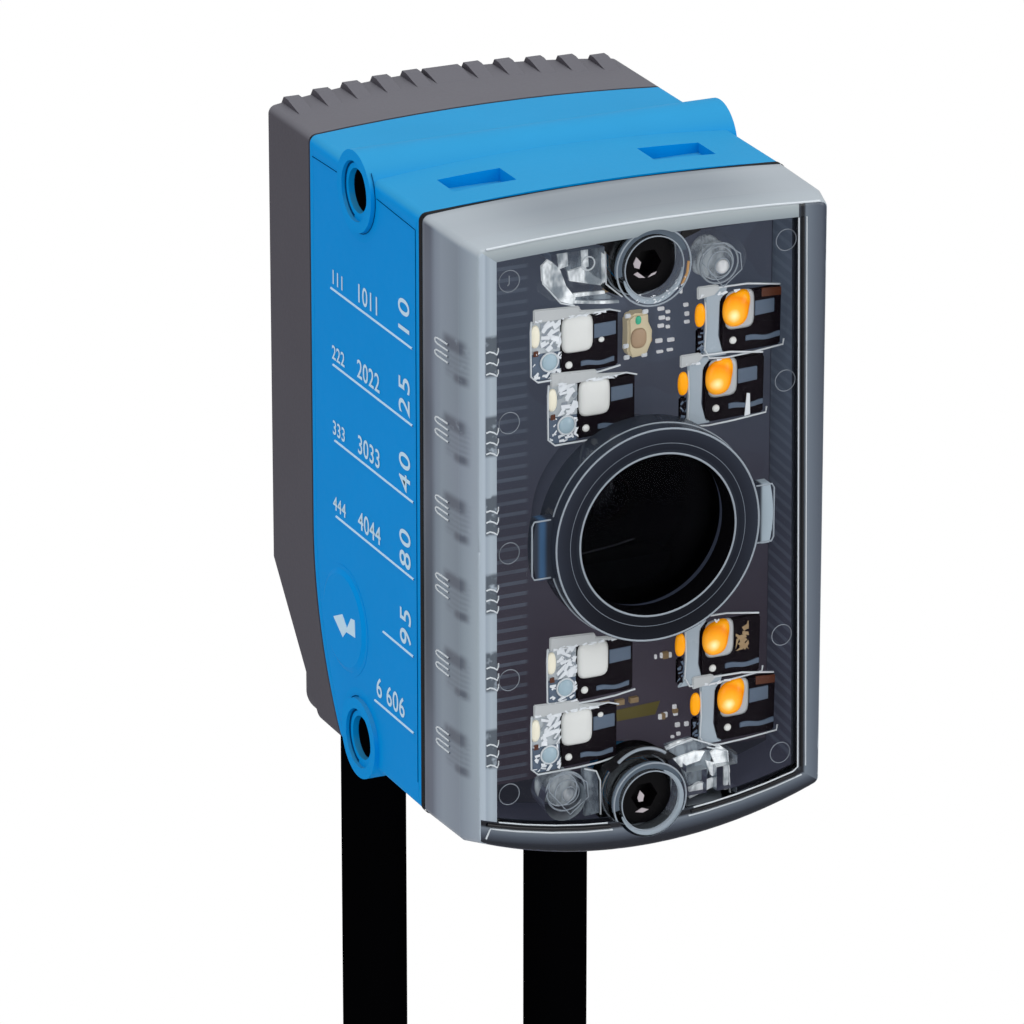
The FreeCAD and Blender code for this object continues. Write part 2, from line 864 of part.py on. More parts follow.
def make_lens_tube():
    """The black tube between the window and the lens, closed by a baffle round the lens."""
    start = "(hood_inside + window_thickness + 0.05)"
    length = f"aperture_y + 1 - {start}"
    tube = ring("mid", start, "axis_height", "tube_outer", "ring_inner", length)
    baffle = cut(
        rod("mid", "aperture_y", "axis_height", "tube_outer", "1"),
        rod("mid", "aperture_y - 1", "axis_height", "aperture_radius", "3"),
    )
    low = "axis_height - ring_inner"
    shade = common(
        box("mid - ring_inner", "aperture_y - 3.5", low, "1.6 * ring_inner", "3.6", "3.4"),
        rod("mid", "aperture_y - 4", "axis_height", "tube_outer - 0.2", "4.5"),
    )
    return keep("lens_tube", fuse(tube, baffle, shade))


def make_lens_barrel():
    """The screwed barrel that carries the lens."""
    barrel = cut(
        rod("mid", "aperture_y + 1.1", "axis_height", "barrel_radius", "barrel_length - 1.1"),
        rod("mid", "aperture_y", "axis_height", "aperture_radius + 0.6", "3.7"),
        rod("mid", "barrel_back - 6", "axis_height", "4.2", "8"),
    )
    return keep("lens_barrel", barrel)


def make_front_lens():
    """The first glass of the lens, domed towards the front."""
    rim = rod("mid", "aperture_y + 1.4", "axis_height", "aperture_radius + 0.55", "1.2")
    ball = doc.addObject("Part::Sphere", "Ball")
    ball.setExpression("Radius", full("2.4 * aperture_radius"))
    put(ball, "mid", "aperture_y + 0.6 + 2.4 * aperture_radius", "axis_height")
    cap = common(ball, rod("mid", "aperture_y", "axis_height", "aperture_radius + 0.55", "1.5"))
    return keep("front_lens", fuse(rim, cap))


def make_lens_holder():
    """The flanged holder behind the housing's front wall that guides the barrel."""
    thick = "holder_thickness"
    flange = on_axis_plate("wall_back", "holder_flange", thick)
    reach = "sensor_board_front - wall_back"
    sleeve = rod("mid", "wall_back", "axis_height", "barrel_radius + 2", reach)
    frame = on_axis_plate(f"sensor_board_front - {thick}", "holder_frame", thick)
    bore = rod("mid", "body_front", "axis_height", "barrel_radius + 0.1", "2 * body_depth")
    return keep("lens_holder", cut(fuse(flange, sleeve, frame), bore))


def on_axis_plate(front, size, thickness):
    """A square plate centred on the optical axis."""
    low_x, low_z = f"mid - {size} / 2", f"axis_height - {size} / 2"
    return box(low_x, front, low_z, size, thickness, size)


def make_image_sensor():
    return keep("image_sensor", on_axis_plate("sensor_board_front - 1.1", "sensor_size", "1.1"))


def make_sensor_board():
    board = on_axis_plate("sensor_board_front", "sensor_board_size", "board_thickness")
    return keep("sensor_board", board)


# ---- lighting ---------------------------------------------------------------------------------


def light_places(side):
    """Centres of the four lens blocks of one side: the far pair stands further out."""
    sign = "-" if side == "left" else "+"
    places = []
    for up in "+-":
        for which in (("far", "out"), ("near", "in")):
            x = f"(mid + light_shift {sign} light_column_{which[1]})"
            z = f"(screw_middle {up} light_row_{which[0]})"
            places.append((x, z))
    return places


def make_illumination_board():
    left, wide = "mid - light_board_side", "2 * light_board_side"
    low, high = "light_board_bottom", "light_board_top - light_board_bottom"
    board = box(left, "light_board_front", low, wide, "board_thickness", high)
    before = "light_board_front - 1"
    holes = [rod("mid", before, "axis_height", "tube_outer + 0.4", "4")]
    holes += [rod("mid", before, z, "pillar_radius + 0.4", "4") for z in hood_screw_heights()]
    return keep("illumination_board", cut(board, *holes))


def make_leds(node_name, side):
    packages = []
    for x, z in light_places(side):
        package = box_about(x, "light_board_front - led_thickness", z, "led_size", "led_thickness")
        dome = many_sided(8, x, "light_board_front - 1.5", z, "0.4 * led_size", "0.7")
        packages.append(fuse(package, dome))
    return keep(node_name, group(*packages))


def box_about(x, start, z, size, thickness):
    """A square plate about a point of the front view."""
    return box(f"{x} - {size} / 2", start, f"{z} - {size} / 2", size, thickness, size)


def many_sided(sides, x, y, z, radius, length, along="y"):
    """A regular prism from the centre of its near end."""
    item = doc.addObject("Part::Prism", "Prism")
    item.Polygon = sides
    item.setExpression("Circumradius", full(radius))
    item.setExpression("Height", full(length))
    item.Placement.Rotation = TURNS[along]
    return put(item, x, y, z)


def make_led_lenses():
    """The clear blocks in front of the eight lamps, each with a step round its raised pad."""
    blocks = []
    wide, high, deep = "lens_block_width", "lens_block_height", "lens_block_depth"
    tube = rod("mid", "hood_front", "axis_height", "tube_outer + 0.15", "hood_depth")
    seat_length = "ring_back - hood_front + 1.1"
    seat = rod("mid", "hood_front - 1", "axis_height", "seat_radius + 0.15", seat_length)
    for x, z in light_places("left") + light_places("right"):
        left, low = f"({x} - {wide} / 2)", f"({z} - {high} / 2)"
        block = box(left, "lens_front", low, wide, deep, high)
        step = box(left, "lens_front", f"{low} - 1", wide, "0.9", f"0.78 * {high} + 1")
        pad_left, pad_low = f"{x} - lens_pad_width / 2", f"{z} - lens_pad_height / 2"
        pad = box(pad_left, "lens_front + 0.2", pad_low, "lens_pad_width", "1.4", "lens_pad_height")
        foot_reach = "light_board_front - lens_front"
        foot = box(left, "lens_front", f"{low} + {high} - 1", wide, foot_reach, "1")
        blocks.append(cut(fuse(cut(block, step), pad, foot), tube, seat))
    return keep("led_lenses", group(*blocks))


def make_status_leds():
    """Six small lamps at the board's left edge, one behind each set of wedges."""
    lamps = []
    for number in range(int(value("status_count"))):
        z = f"status_top - {number} * status_pitch"
        lamps.append(box_about("mid - half_width + 4.8", "light_board_front - 0.8", z, "1.6", "0.8"))
    return keep("status_leds", group(*lamps))


def make_aiming_led():
    x, z = "mid - 0.2", "aiming_height"
    base = box_about(x, "light_board_front - 1.6", z, "3.6", "1.6")
    lens = rod(x, "light_board_front - 2", z, "0.8", "0.5")
    return keep("aiming_led", fuse(base, lens))


def make_board_parts():
    """Small surface-mounted parts on the lighting board."""
    front = "light_board_front - chip_height"
    size = ("chip_length", "chip_height", "0.6 * chip_length")
    parts = [
        box(f"mid + ({number} - 1.2) * 1.7 * chip_length", front, z, *size)
        for number in range(3)
        for z in ("aiming_height + 3.6", "-screw_half_spacing + 6.8")
    ]
    plug_low = "cable_window_low + 1"
    parts.append(box("mid - 5", "light_board_back", plug_low, "9", "2.4", "3.6"))
    return keep("board_parts", group(*parts))


def make_hood_screws():
    """Socket head screws that clamp the hood to the housing."""
    screws = []
    front = "(head_seat - screw_head_height)"
    depth = "0.6 * screw_head_height + 1"
    for z in hood_screw_heights():
        head = rod("mid", front, z, "screw_head_radius", "screw_head_height")
        length = "wall_back - head_seat"
        shank = rod("mid", "head_seat - 0.1", z, "screw_shank_radius - 0.05", length)
        socket = many_sided(6, "mid", f"{front} - 1", z, "0.5 * screw_head_radius", depth)
        screws.append(cut(fuse(head, shank), socket))
    return keep("hood_screws", group(*screws))


# ---- boards in the housing --------------------------------------------------------------------


def make_main_board():
    """The processor board, as tall as the room between the cover's upper and lower walls."""
    wide, half_high = "main_board_width", "(side_half - wall - main_board_side_gap)"
    left, low = f"mid - {wide} / 2", f"axis_height - {half_high}"
    board = box(left, "main_board_front", low, wide, "board_thickness", f"2 * {half_high}")
    return keep("main_board", board)


def make_processor():
    size = "processor_size"
    low_x, low_z = f"mid - {size} / 2", "axis_height - 1"
    chip = box(low_x, "main_board_back", low_z, size, "processor_thickness", size)
    return keep("processor", chip)


def make_board_spacers():
    """Four six-sided pillars that hold the main board behind the sensor board's corners."""
    out_x = "(main_board_width / 2 - spacer_radius)"
    out_z = "(sensor_board_size / 2 - spacer_edge)"
    pillars = []
    for a in "+-":
        for b in "+-":
            place = (f"mid {a} {out_x}", "sensor_board_back", f"axis_height {b} {out_z}")
            pillars.append(many_sided(6, *place, "spacer_radius", "board_gap"))
    return keep("board_spacers", group(*pillars))


def make_board_connector():
    """The plug and socket strip that joins the sensor board and the main board."""
    strip = box("mid - 6", "sensor_board_back", "axis_height - 9", "12", "board_gap", "4")
    return keep("board_connector", strip)


def make_heat_pad():
    """The soft pad that leads the processor's heat to the finned cover."""
    size = "(processor_size - 1)"
    reach = "cover_back - wall - processor_back"
    low_x, low_z = f"mid - {size} / 2", "axis_height - 0.5"
    pad = box(low_x, "processor_back", low_z, size, reach, size)
    return keep("heat_pad", pad)


def make_cover_screws():
    screws = []
    start = "(body_back - post_length + 2)"
    length = f"cover_back - 0.8 - {start}"
    for x, z in cover_screw_places():
        head = rod(x, "cover_back - 0.9", z, "screw_head_radius - 0.3", "1.8")
        shank = rod(x, start, z, "cover_screw_radius - 0.05", length)
        socket = many_sided(6, x, "cover_back + 0.1", z, "1.3", "2")
        screws.append(cut(fuse(head, shank), socket))
    return keep("cover_screws", group(*screws))


# ---- swivel cable unit ------------------------------------------------------------------------


def cable_places():
    return ("mid - cable_half_spacing", "mid + cable_half_spacing")


def make_swivel_housing():
    """A wedge-shaped block that turns on the slanted face and lets both cables out at its foot."""
    upper = slanted("swivel_half_length + 1", "swivel_gap")
    lower = slanted("-swivel_half_length", "swivel_gap")
    profile = [
        lower,
        (f"{upper[0]} - 3", "swivel_bottom"),
        ("swivel_back - swivel_corner", "swivel_bottom", "swivel_corner"),
        ("swivel_back", "swivel_bottom + swivel_corner"),
        ("swivel_back", f"{upper[1]} - 1.6"),
        upper,
    ]
    block = extrude("side", profile, "mid - swivel_width / 2", "swivel_width")
    block = round_edges(block, "swivel_corner", is_swivel_side)
    spigot = along_slant("-wall - 2.6", "spigot_radius", "wall + 2.6 + swivel_gap + 0.2")
    groove = cut(
        along_slant("-wall - 1.5", "spigot_radius + 1", "clip_thickness + 0.1"),
        along_slant("-wall - 2", "spigot_radius - 0.9", "3"),
    )
    wide, long = "grommet_radius + 0.1", "2 * grommet_length"
    bores = [rod(x, "cable_y", "grommet_top", wide, long, "-z") for x in cable_places()]
    channel = along_slant("-wall - 4", "5", "8")
    return keep("swivel_housing", cut(fuse(block, spigot), groove, channel, *bores))


def is_swivel_side(edge):
    """An upright edge at the block's back."""
    box_of_edge = edge.BoundBox
    return runs_along(edge, "z") and box_of_edge.YMin > value("swivel_back") - 0.01


def make_swivel_clip():
    """The spring ring that holds the spigot inside the cover."""
    clip = cut(
        along_slant("-wall - 1.45", "spigot_radius + 1.6", "clip_thickness"),
        along_slant("-wall - 3", "spigot_radius - 0.85", "4"),
        box("mid - 1.5", "axis_y - 3", "axis_z + 2", "3", "14", "14"),
    )
    return keep("swivel_clip", clip)


def make_cable_grommets():
    """Rubber grommets that seal each cable in the block's foot."""
    size = ("grommet_radius", "grommet_length")
    sleeves = [rod(x, "cable_y", "grommet_top", *size, "-z") for x in cable_places()]
    return keep("cable_grommets", group(*sleeves))


def make_cable(node_name, x):
    return keep(node_name, rod(x, "cable_y", "cable_top", "cable_radius", "cable_length", "-z"))


def plug_body(x, face):
    """The moulded plug body: a tapered sleeve on the cable, a collar, and the contact carrier."""
    taper = "0.4 * plug_length"
    start = "cable_radius + 0.8"
    sleeve = rod(x, "cable_y", "plug_top", start, taper, "-z", "plug_radius")
    body = rod(x, "cable_y", f"plug_top - {taper}", "plug_radius", "0.6 * plug_length", "-z")
    length = f"coupling_length - {face}"
    neck = rod(x, "cable_y", "coupling_top", "plug_radius - 1.8", length, "-z")
    flange_top = "coupling_top - flange_drop"
    flange = rod(x, "cable_y", flange_top, "plug_radius - 1.2", "1", "-z")
    return fuse(sleeve, body, neck, flange)


def make_network_plug(x):
    """The plug with four contact sockets."""
    sockets = contact_rods(x, 4, 2, "coupling_top - coupling_length + 3", "5")
    return keep("network_plug", cut(plug_body(x, "0"), *sockets))


def make_power_plug(x):
    return keep("power_plug", plug_body(x, "pin_recess"))


def coupling_bores(x):
    """The stepped hole of a coupling: a shoulder that the plug's flange holds, then open space."""
    shoulder = "(coupling_top - flange_drop + 0.3)"
    long = "coupling_length + 3"
    through = rod(x, "cable_y", "coupling_top + 1", "plug_radius - 1.6", long, "-z")
    space = rod(x, "cable_y", shoulder, "plug_radius - 0.9", "coupling_length", "-z")
    return through, space


def make_power_coupling(x):
    """The knurled ring with the outer thread, free to turn on the plug."""
    top = "coupling_top - 0.3"
    grip = rod(x, "cable_y", top, "coupling_radius", "0.6 * coupling_length", "-z")
    thread = rod(x, "cable_y", top, "coupling_radius - 1", "coupling_length - 0.3", "-z")
    return keep("power_coupling", cut(fuse(grip, thread), *coupling_bores(x)))


def make_network_coupling(x):
    """The knurled nut with the inner thread, free to turn on the plug."""
    length = "coupling_length - 0.3"
    grip = rod(x, "cable_y", "coupling_top - 0.3", "coupling_radius", length, "-z")
    return keep("network_coupling", cut(grip, *coupling_bores(x)))


def contact_rods(x, count, spread, top, length):
    """Six-sided rods in a circle, for the pins of a plug or the holes of its mate."""
    rods = []
    for number in range(count):
        angle = 360 * number / count
        pin_x = f"{x} + {spread} * cos({angle} * 1 deg)"
        pin_y = f"cable_y + {spread} * sin({angle} * 1 deg)"
        rods.append(many_sided(6, pin_x, pin_y, top, "contact_radius", length, "-z"))
    return rods


def make_power_contacts(x):
    """Eight contact pins that stand out of the carrier, inside the coupling ring."""
    face = "coupling_top - coupling_length + pin_recess"
    return keep("power_contacts", group(*contact_rods(x, 8, 2.6, face, "pin_recess - 0.6")))


# ---- the whole camera -------------------------------------------------------------------------

make_housing()
make_rear_cover()
make_rear_seal()
make_front_seal()
make_side_panel()
make_button()
make_button_switch()
make_front_hood()
make_window_ring()
make_optical_window()
make_lens_tube()
make_lens_barrel()
make_front_lens()
make_lens_holder()
make_image_sensor()
make_sensor_board()
make_illumination_board()
make_leds("white_leds", "left")
make_leds("amber_leds", "right")
make_led_lenses()
make_status_leds()
make_aiming_led()
make_board_parts()
make_hood_screws()
make_main_board()
make_processor()
make_board_spacers()
make_board_connector()
make_heat_pad()
make_cover_screws()
make_swivel_housing()
make_swivel_clip()
make_cable_grommets()
left_cable, right_cable = cable_places()
make_cable("network_cable", left_cable)
make_cable("power_cable", right_cable)
make_network_plug(left_cable)
make_power_plug(right_cable)
make_network_coupling(left_cable)
make_power_coupling(right_cable)
make_power_contacts(right_cable)

doc.recompute()
faults = [
    item.Name
    for item in doc.Objects
    if "Invalid" in item.State or "Error" in item.State
]
faults += [
    name
    for name, item in nodes.items()
    if item.Shape.isNull() or not item.Shape.isValid() or not item.Shape.Solids
]
if faults:
    raise RuntimeError("these objects did not come out: " + ", ".join(faults))

os.makedirs("parts", exist_ok=True)
for node_name, item in nodes.items():
    item.Shape.exportStep(f"parts/{node_name}.step")
print(len(nodes), "nodes written")
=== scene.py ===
"""The looks of the machine vision camera. Metres, +Z up; its lens faces -Y."""

import math
import random

import bmesh
import bpy
from mathutils import Matrix, Vector


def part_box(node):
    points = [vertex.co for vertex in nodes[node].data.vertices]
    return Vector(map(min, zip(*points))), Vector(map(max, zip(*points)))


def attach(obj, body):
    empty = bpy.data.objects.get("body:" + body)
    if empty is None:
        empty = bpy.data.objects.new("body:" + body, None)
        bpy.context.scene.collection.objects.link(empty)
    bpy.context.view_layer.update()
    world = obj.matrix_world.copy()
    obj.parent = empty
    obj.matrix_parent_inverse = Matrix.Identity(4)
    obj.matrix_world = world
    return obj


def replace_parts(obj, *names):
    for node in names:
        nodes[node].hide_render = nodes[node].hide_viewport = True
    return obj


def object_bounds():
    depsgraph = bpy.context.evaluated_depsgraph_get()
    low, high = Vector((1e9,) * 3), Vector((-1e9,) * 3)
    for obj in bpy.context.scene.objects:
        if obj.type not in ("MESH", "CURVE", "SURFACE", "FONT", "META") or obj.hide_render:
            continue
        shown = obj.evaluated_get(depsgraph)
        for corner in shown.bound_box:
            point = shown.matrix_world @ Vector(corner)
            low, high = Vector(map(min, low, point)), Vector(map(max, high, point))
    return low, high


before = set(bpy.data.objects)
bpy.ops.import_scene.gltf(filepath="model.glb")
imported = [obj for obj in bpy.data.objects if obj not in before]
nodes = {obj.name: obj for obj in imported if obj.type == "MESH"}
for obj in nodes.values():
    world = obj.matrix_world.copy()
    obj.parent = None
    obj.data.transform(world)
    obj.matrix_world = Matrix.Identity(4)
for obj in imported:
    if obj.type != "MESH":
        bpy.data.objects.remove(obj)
cad_low, cad_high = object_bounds()
scene = bpy.context.scene
MM = 0.001
hood_low, hood_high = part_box("front_hood")
MID = (hood_low.x + hood_high.x) / 2
FRONT = hood_low.y

# sizes in millimetres, from the middle of the hood, behind its front, and up from the origin
AXIS = -0.6  # height of the lens axis
HOOD_DEPTH = 12.2
WEDGE_STEP = 8.95  # from one status lamp to the next
SCREWS = ((0, 29.3), (0, -32.1))
COLLAR_REACH, SEAT_REACH = 5, 16  # radii of the screw collars and of the seat of the window ring
FACE = 3.0  # front of the lamp blocks
BOARD = 8.6  # front of the lighting board
SIDE = -21.52  # face of the label panel
BOSS_Y, BOSS_Z = 29.3, (32.0, -32.0)
# where the corner bead of each lamp block lies
LEFT_BLOCKS = ((-8.44, 18.47), (-6.41, 11.02), (-6.45, -19.21), (-8.34, -26.75))
RIGHT_BLOCKS = ((11.02, 18.41), (9.06, 10.93), (8.99, -19.26), (10.89, -26.56))
SIDEWAYS = Vector((1, 0, 0))
WHITE, BLACK, PALE = (1, 1, 1, 1), (0, 0, 0, 1), (0.8, 0.8, 0.8, 1)

# ---- camera ----

view_data = bpy.data.cameras.new("view")
view_data.sensor_width = 36
view_data.lens = 260.6
view_data.clip_start = 0.05
view_data.clip_end = 50
view_object = bpy.data.objects.new("view", view_data)
scene.collection.objects.link(view_object)
EYE = Vector((-0.30161, -0.69909, 0.28423))
AIM = Vector((0.01510, -0.00809, -0.00468))
view_object.location = EYE
view_object.rotation_mode = "QUATERNION"
view_object.rotation_quaternion = (AIM - EYE).to_track_quat("-Z", "Y")
scene.camera = view_object

# ---- cables ----

CABLE_Y = 0.01999
CABLE_TOP, CABLE_END = -0.038, -0.238
CABLE_LENGTH, CABLE_WIDTH = 0.2, 0.0075
NETWORK_X, POWER_X = 0.0105, 0.0335


def make_cable(name, x):
    """A cable that hangs straight under the weight of its plug, as one smooth spline."""
    curve = bpy.data.curves.new(name, "CURVE")
    curve.dimensions = "3D"
    # the points hold the radius, because the bounds of a curve grow by the radius of its points
    curve.bevel_depth = 1
    curve.bevel_resolution = 8
    curve.resolution_u = 24
    curve.use_fill_caps = True
    spline = curve.splines.new("NURBS")
    heights = (CABLE_TOP, -0.09, -0.14, -0.19, CABLE_END)
    spline.points.add(len(heights) - 1)
    for point, height in zip(spline.points, heights):
        point.co = (x, CABLE_Y, height, 1)
        point.radius = CABLE_WIDTH / 2
    spline.order_u = 3
    spline.use_endpoint_u = True
    cable = bpy.data.objects.new(name, curve)
    scene.collection.objects.link(cable)
    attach(cable, "swivel")
    return cable


network_cable = make_cable("network_cable_jacket", NETWORK_X)
power_cable = make_cable("power_cable_jacket", POWER_X)
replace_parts(network_cable, "network_cable")
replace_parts(power_cable, "power_cable")

# ---- materials ----


def paint(red, green, blue):
    """A colour given as it looks on a screen, 0 to 255, as linear numbers."""
    channels = []
    for channel in (red, green, blue):
        share = channel / 255
        channels.append(share / 12.92 if share < 0.04045 else ((share + 0.055) / 1.055) ** 2.4)
    return (*channels, 1)


class Value:
    """A number that a material works out at every point. Sums with it are written plainly."""

    def __init__(self, made, socket):
        self.made = made
        self.socket = socket

    def __rsub__(self, other):
        return self.made.math("SUBTRACT", other, self)

    def within(self, low, high, soft):
        """1 between two values and 0 outside them, with soft ends."""
        ends = []
        for middle in (low, high):
            sockets = {0: self, 1: middle - soft, 2: middle + soft}
            node = self.made.add("ShaderNodeMapRange", sockets, interpolation_type="SMOOTHSTEP")
            ends.append(node.outputs[0])
        return self.made.math("SUBTRACT", *ends)


for sign, kind in (
    ("__add__", "ADD"),
    ("__sub__", "SUBTRACT"),
    ("__mul__", "MULTIPLY"),
    ("__truediv__", "DIVIDE"),
    ("__gt__", "GREATER_THAN"),
    ("__lt__", "LESS_THAN"),
    ("__abs__", "ABSOLUTE"),
    ("__round__", "ROUND"),
    ("most", "MAXIMUM"),
    ("least", "MINIMUM"),
    ("root", "SQRT"),
    ("sine", "SINE"),
):
    setattr(Value, sign, lambda self, other=0.0, kind=kind: self.made.math(kind, self, other))


class Finish:
    """A material or world, built up node by node. A colour of three numbers is as seen on a screen."""

    def __init__(self, name, owner=None, out="ShaderNodeOutputMaterial"):
        self.owner = owner or bpy.data.materials.new(name)
        self.owner.use_nodes = True
        self.tree = self.owner.node_tree
        self.tree.nodes.clear()
        self.out = self.add(out)

    def add(self, kind, sockets=None, **settings):
        """A new node. sockets are its inputs, by name or number, and settings its other options."""
        node = self.tree.nodes.new(kind)
        for key, setting in settings.items():
            setattr(node, key, setting)
        for key, source in (sockets or {}).items():
            self.feed(node, key, source)
        return node

    def feed(self, node, key, source):
        """Sets an input from a number, a colour, a Value or another node's output."""
        if isinstance(source, Value):
            source = source.socket
        if isinstance(source, bpy.types.NodeSocket):
            self.tree.links.new(source, node.inputs[key])
        elif isinstance(source, tuple) and len(source) == 3:
            node.inputs[key].default_value = paint(*source)
        else:
            node.inputs[key].default_value = source

    def math(self, kind, first, second=0.0, clamp=False):
        node = self.add("ShaderNodeMath", {0: first, 1: second}, operation=kind, use_clamp=clamp)
        return Value(self, node.outputs[0])

    def blend(self, share, first, second):
        sockets = {0: share, 6: first, 7: second}
        return self.add("ShaderNodeMix", sockets, data_type="RGBA").outputs[2]

    def ramp(self, source, *stops):
        """A colour read off a ramp of stops: place, red, green and blue."""
        node = self.add("ShaderNodeValToRGB", {0: source})
        elements = node.color_ramp.elements
        for element, (place, *color) in zip(elements, (stops[0], stops[-1])):
            element.position, element.color = place, paint(*color)
        for place, *color in stops[1:-1]:
            elements.new(place).color = paint(*color)
        return node.outputs[0]

    def parts(self, source):
        """The x, y and z of a vector."""
        node = self.add("ShaderNodeSeparateXYZ", {0: source})
        return [Value(self, output) for output in node.outputs]

    def places(self):
        """The place in millimetres: x from the middle, y from the front of the hood, z up."""
        x, y, z = self.parts(self.add("ShaderNodeNewGeometry").outputs["Position"])
        return (x - MID) * 1000, (y - FRONT) * 1000, z * 1000

    def noise(self, scale, detail=3, roughness=0.6, stretch=(1, 1, 1)):
        mapping = self.add("ShaderNodeMapping", {0: self.add("ShaderNodeTexCoord").outputs["Object"]})
        mapping.inputs["Scale"].default_value = stretch
        sockets = {"Vector": mapping.outputs[0], "Scale": scale, "Detail": detail, "Roughness": roughness}
        return Value(self, self.add("ShaderNodeTexNoise", sockets).outputs["Fac"])

    def bump(self, height, strength, depth):
        sockets = {"Strength": strength, "Distance": depth, "Height": height}
        return self.add("ShaderNodeBump", sockets).outputs[0]

    def surface(self, color, roughness, shine=0.5, metal=0.0, normal=None, glow=0.0):
        sockets = {"Base Color": color, "Roughness": roughness, "Metallic": metal}
        sockets |= {"Emission Color": color, "Emission Strength": glow, "Specular IOR Level": shine}
        if normal:
            sockets["Normal"] = normal
        return self.add("ShaderNodeBsdfPrincipled", sockets).outputs[0]

    def plain(self, kind, color, **more):
        """A shader that needs little more than a colour."""
        return self.add(kind, {0: color, **more}).outputs[0]

    def clear(self, tint=WHITE):
        return self.plain("ShaderNodeBsdfTransparent", tint)

    def mixed(self, share, first, second):
        return self.add("ShaderNodeMixShader", {0: share, 1: first, 2: second}).outputs[0]

    def done(self, shader):
        self.feed(self.out, "Surface", shader)
        return self.owner


def moulded(name, color, roughness, grain, shine, relief, vary, metal=0.0, glow=0.0, top=None):
    """Painted, moulded or cast matter: a fine grain, uneven gloss and slight colour drift.

    glow is a painted glow that stands for light the clear hood carries inside. top is the tone of faces
    that look up: painted light from above.
    """
    made = Finish(name)
    fine = made.noise(grain, 4)
    broad = made.noise(90, 2)
    if top:
        normal = made.add("ShaderNodeNewGeometry").outputs["Normal"]
        color = made.blend(made.parts(normal)[2].within(0.45, 2, 0.35), color, top)
        tone = made.blend(broad * vary, color, BLACK)
    else:
        color = paint(*color)
        darker = (*(channel * (1 - vary) for channel in color[:3]), 1)
        tone = made.blend(broad, darker, color)
    rough = fine * 0.16 + (roughness - 0.08)
    normal = made.bump(fine, relief, 0.00006)
    return made.done(made.surface(tone, rough, shine, metal, normal, glow))


def facet(name, color, roughness=0.3, vary=0.3, glow=0.2):
    """A patch of light or shade in clear plastic."""
    return moulded(name, color, roughness, 300, 0.3, 0.02, vary, glow=glow)


def glassy(name, dark, light, opacity, scale=300):
    """Clear moulded plastic: streaks of light and shade over a see-through body."""
    made = Finish(name)
    streak = made.noise(scale, 3, 0.65, (1, 1, 0.5)).within(0.5, 2, 0.13)
    body = made.surface(made.blend(streak, dark, light), 0.2, 0.3, glow=0.25)
    share = made.math("ADD", streak * 0.3, opacity - 0.15, True)
    return made.done(made.mixed(share, made.clear(), body))


# the blue and the grey paint get a lighter top tone: painted light on the faces that look up
blue = moulded("blue_paint", (2, 147, 223), 0.5, 2600, 0.02, 0.25, 0.1, top=(48, 146, 197))
foil = moulded("blue_foil", (1, 143, 220), 0.42, 900, 0.02, 0.04, 0.05)
grey = moulded("grey_paint", (81, 78, 85), 0.55, 2200, 0.1, 0.35, 0.1, top=(102, 101, 107))
rubber = moulded("seal_rubber", (12, 10, 12), 0.6, 1500, 0.12, 0.2, 0.2)
jacket = moulded("cable_jacket", (4, 4, 5), 0.7, 900, 0.0, 0.15, 0.2)
black = moulded("black_plastic", (9, 9, 11), 0.45, 1800, 0.25, 0.12, 0.2)
dull_black = moulded("dull_black", (3, 3, 4), 0.8, 1200, 0.04, 0.1, 0.2)
oxide = moulded("black_oxide_steel", (8, 7, 9), 0.3, 3000, 0.08, 0.08, 0.2)
nickel = moulded("nickel_plate", (176, 172, 164), 0.28, 4000, 0.5, 0.05, 0.1, 1.0)
steel = moulded("spring_steel", (150, 150, 152), 0.3, 3000, 0.5, 0.1, 0.1, 1.0)
gold = moulded("gold_contact", (224, 178, 84), 0.25, 3000, 0.5, 0.05, 0.1, 1.0)
brass = moulded("spacer_brass", (190, 160, 92), 0.35, 3000, 0.5, 0.05, 0.1, 1.0)
anodised = moulded("black_anodised", (14, 14, 16), 0.4, 3000, 0.4, 0.1, 0.2, 0.4)
pad_grey = moulded("heat_pad", (120, 124, 130), 0.7, 1200, 0.2, 0.3, 0.2)
dark_glass = moulded("sensor_glass", (8, 8, 12), 0.1, 500, 0.15, 0.0, 0.1)
white_print = moulded("white_print", (196, 226, 244), 0.5, 1200, 0.2, 0.02, 0.05)
milky = moulded("white_lamp", (200, 202, 200), 0.35, 500, 0.3, 0.05, 0.16, glow=0.35)
ivory = moulded("ivory_lamp", (212, 208, 190), 0.35, 700, 0.3, 0.1, 0.1, glow=0.4)
plate_grey = moulded("lit_plate", (178, 182, 184), 0.3, 400, 0.4, 0.05, 0.3, glow=0.25)
lit_grey = moulded("lit_field", (176, 184, 190), 0.3, 700, 0.3, 0.05, 0.4, glow=0.2)
# patches of painted light and shade in clear plastic: pale edge bands, bright glints and slate shade
band_grey = facet("clear_edge", (150, 162, 172), 0.25, 0.18, 0.25)
spark = facet("bright_facet", (214, 219, 224), 0.25, 0.2)
slate = facet("slate_facet", (84, 98, 116), 0.2, glow=0.25)
umber = facet("umber_facet", (84, 46, 30))
deep = moulded("deep_black", (20, 15, 21), 0.3, 300, 0.06, 0.02, 0.3, glow=0.1)
beige = moulded("aiming_package", (206, 194, 164), 0.4, 1800, 0.3, 0.25, 0.3, glow=0.3)
mint = moulded("aiming_lens", (60, 176, 140), 0.3, 600, 0.4, 0.0, 0.1, glow=0.2)
tan = moulded("tan_chip", (150, 128, 96), 0.5, 900, 0.3, 0.1, 0.2, glow=0.2)
olive = moulded("olive_print", (98, 90, 48), 0.5, 900, 0.3, 0.1, 0.2, glow=0.25)
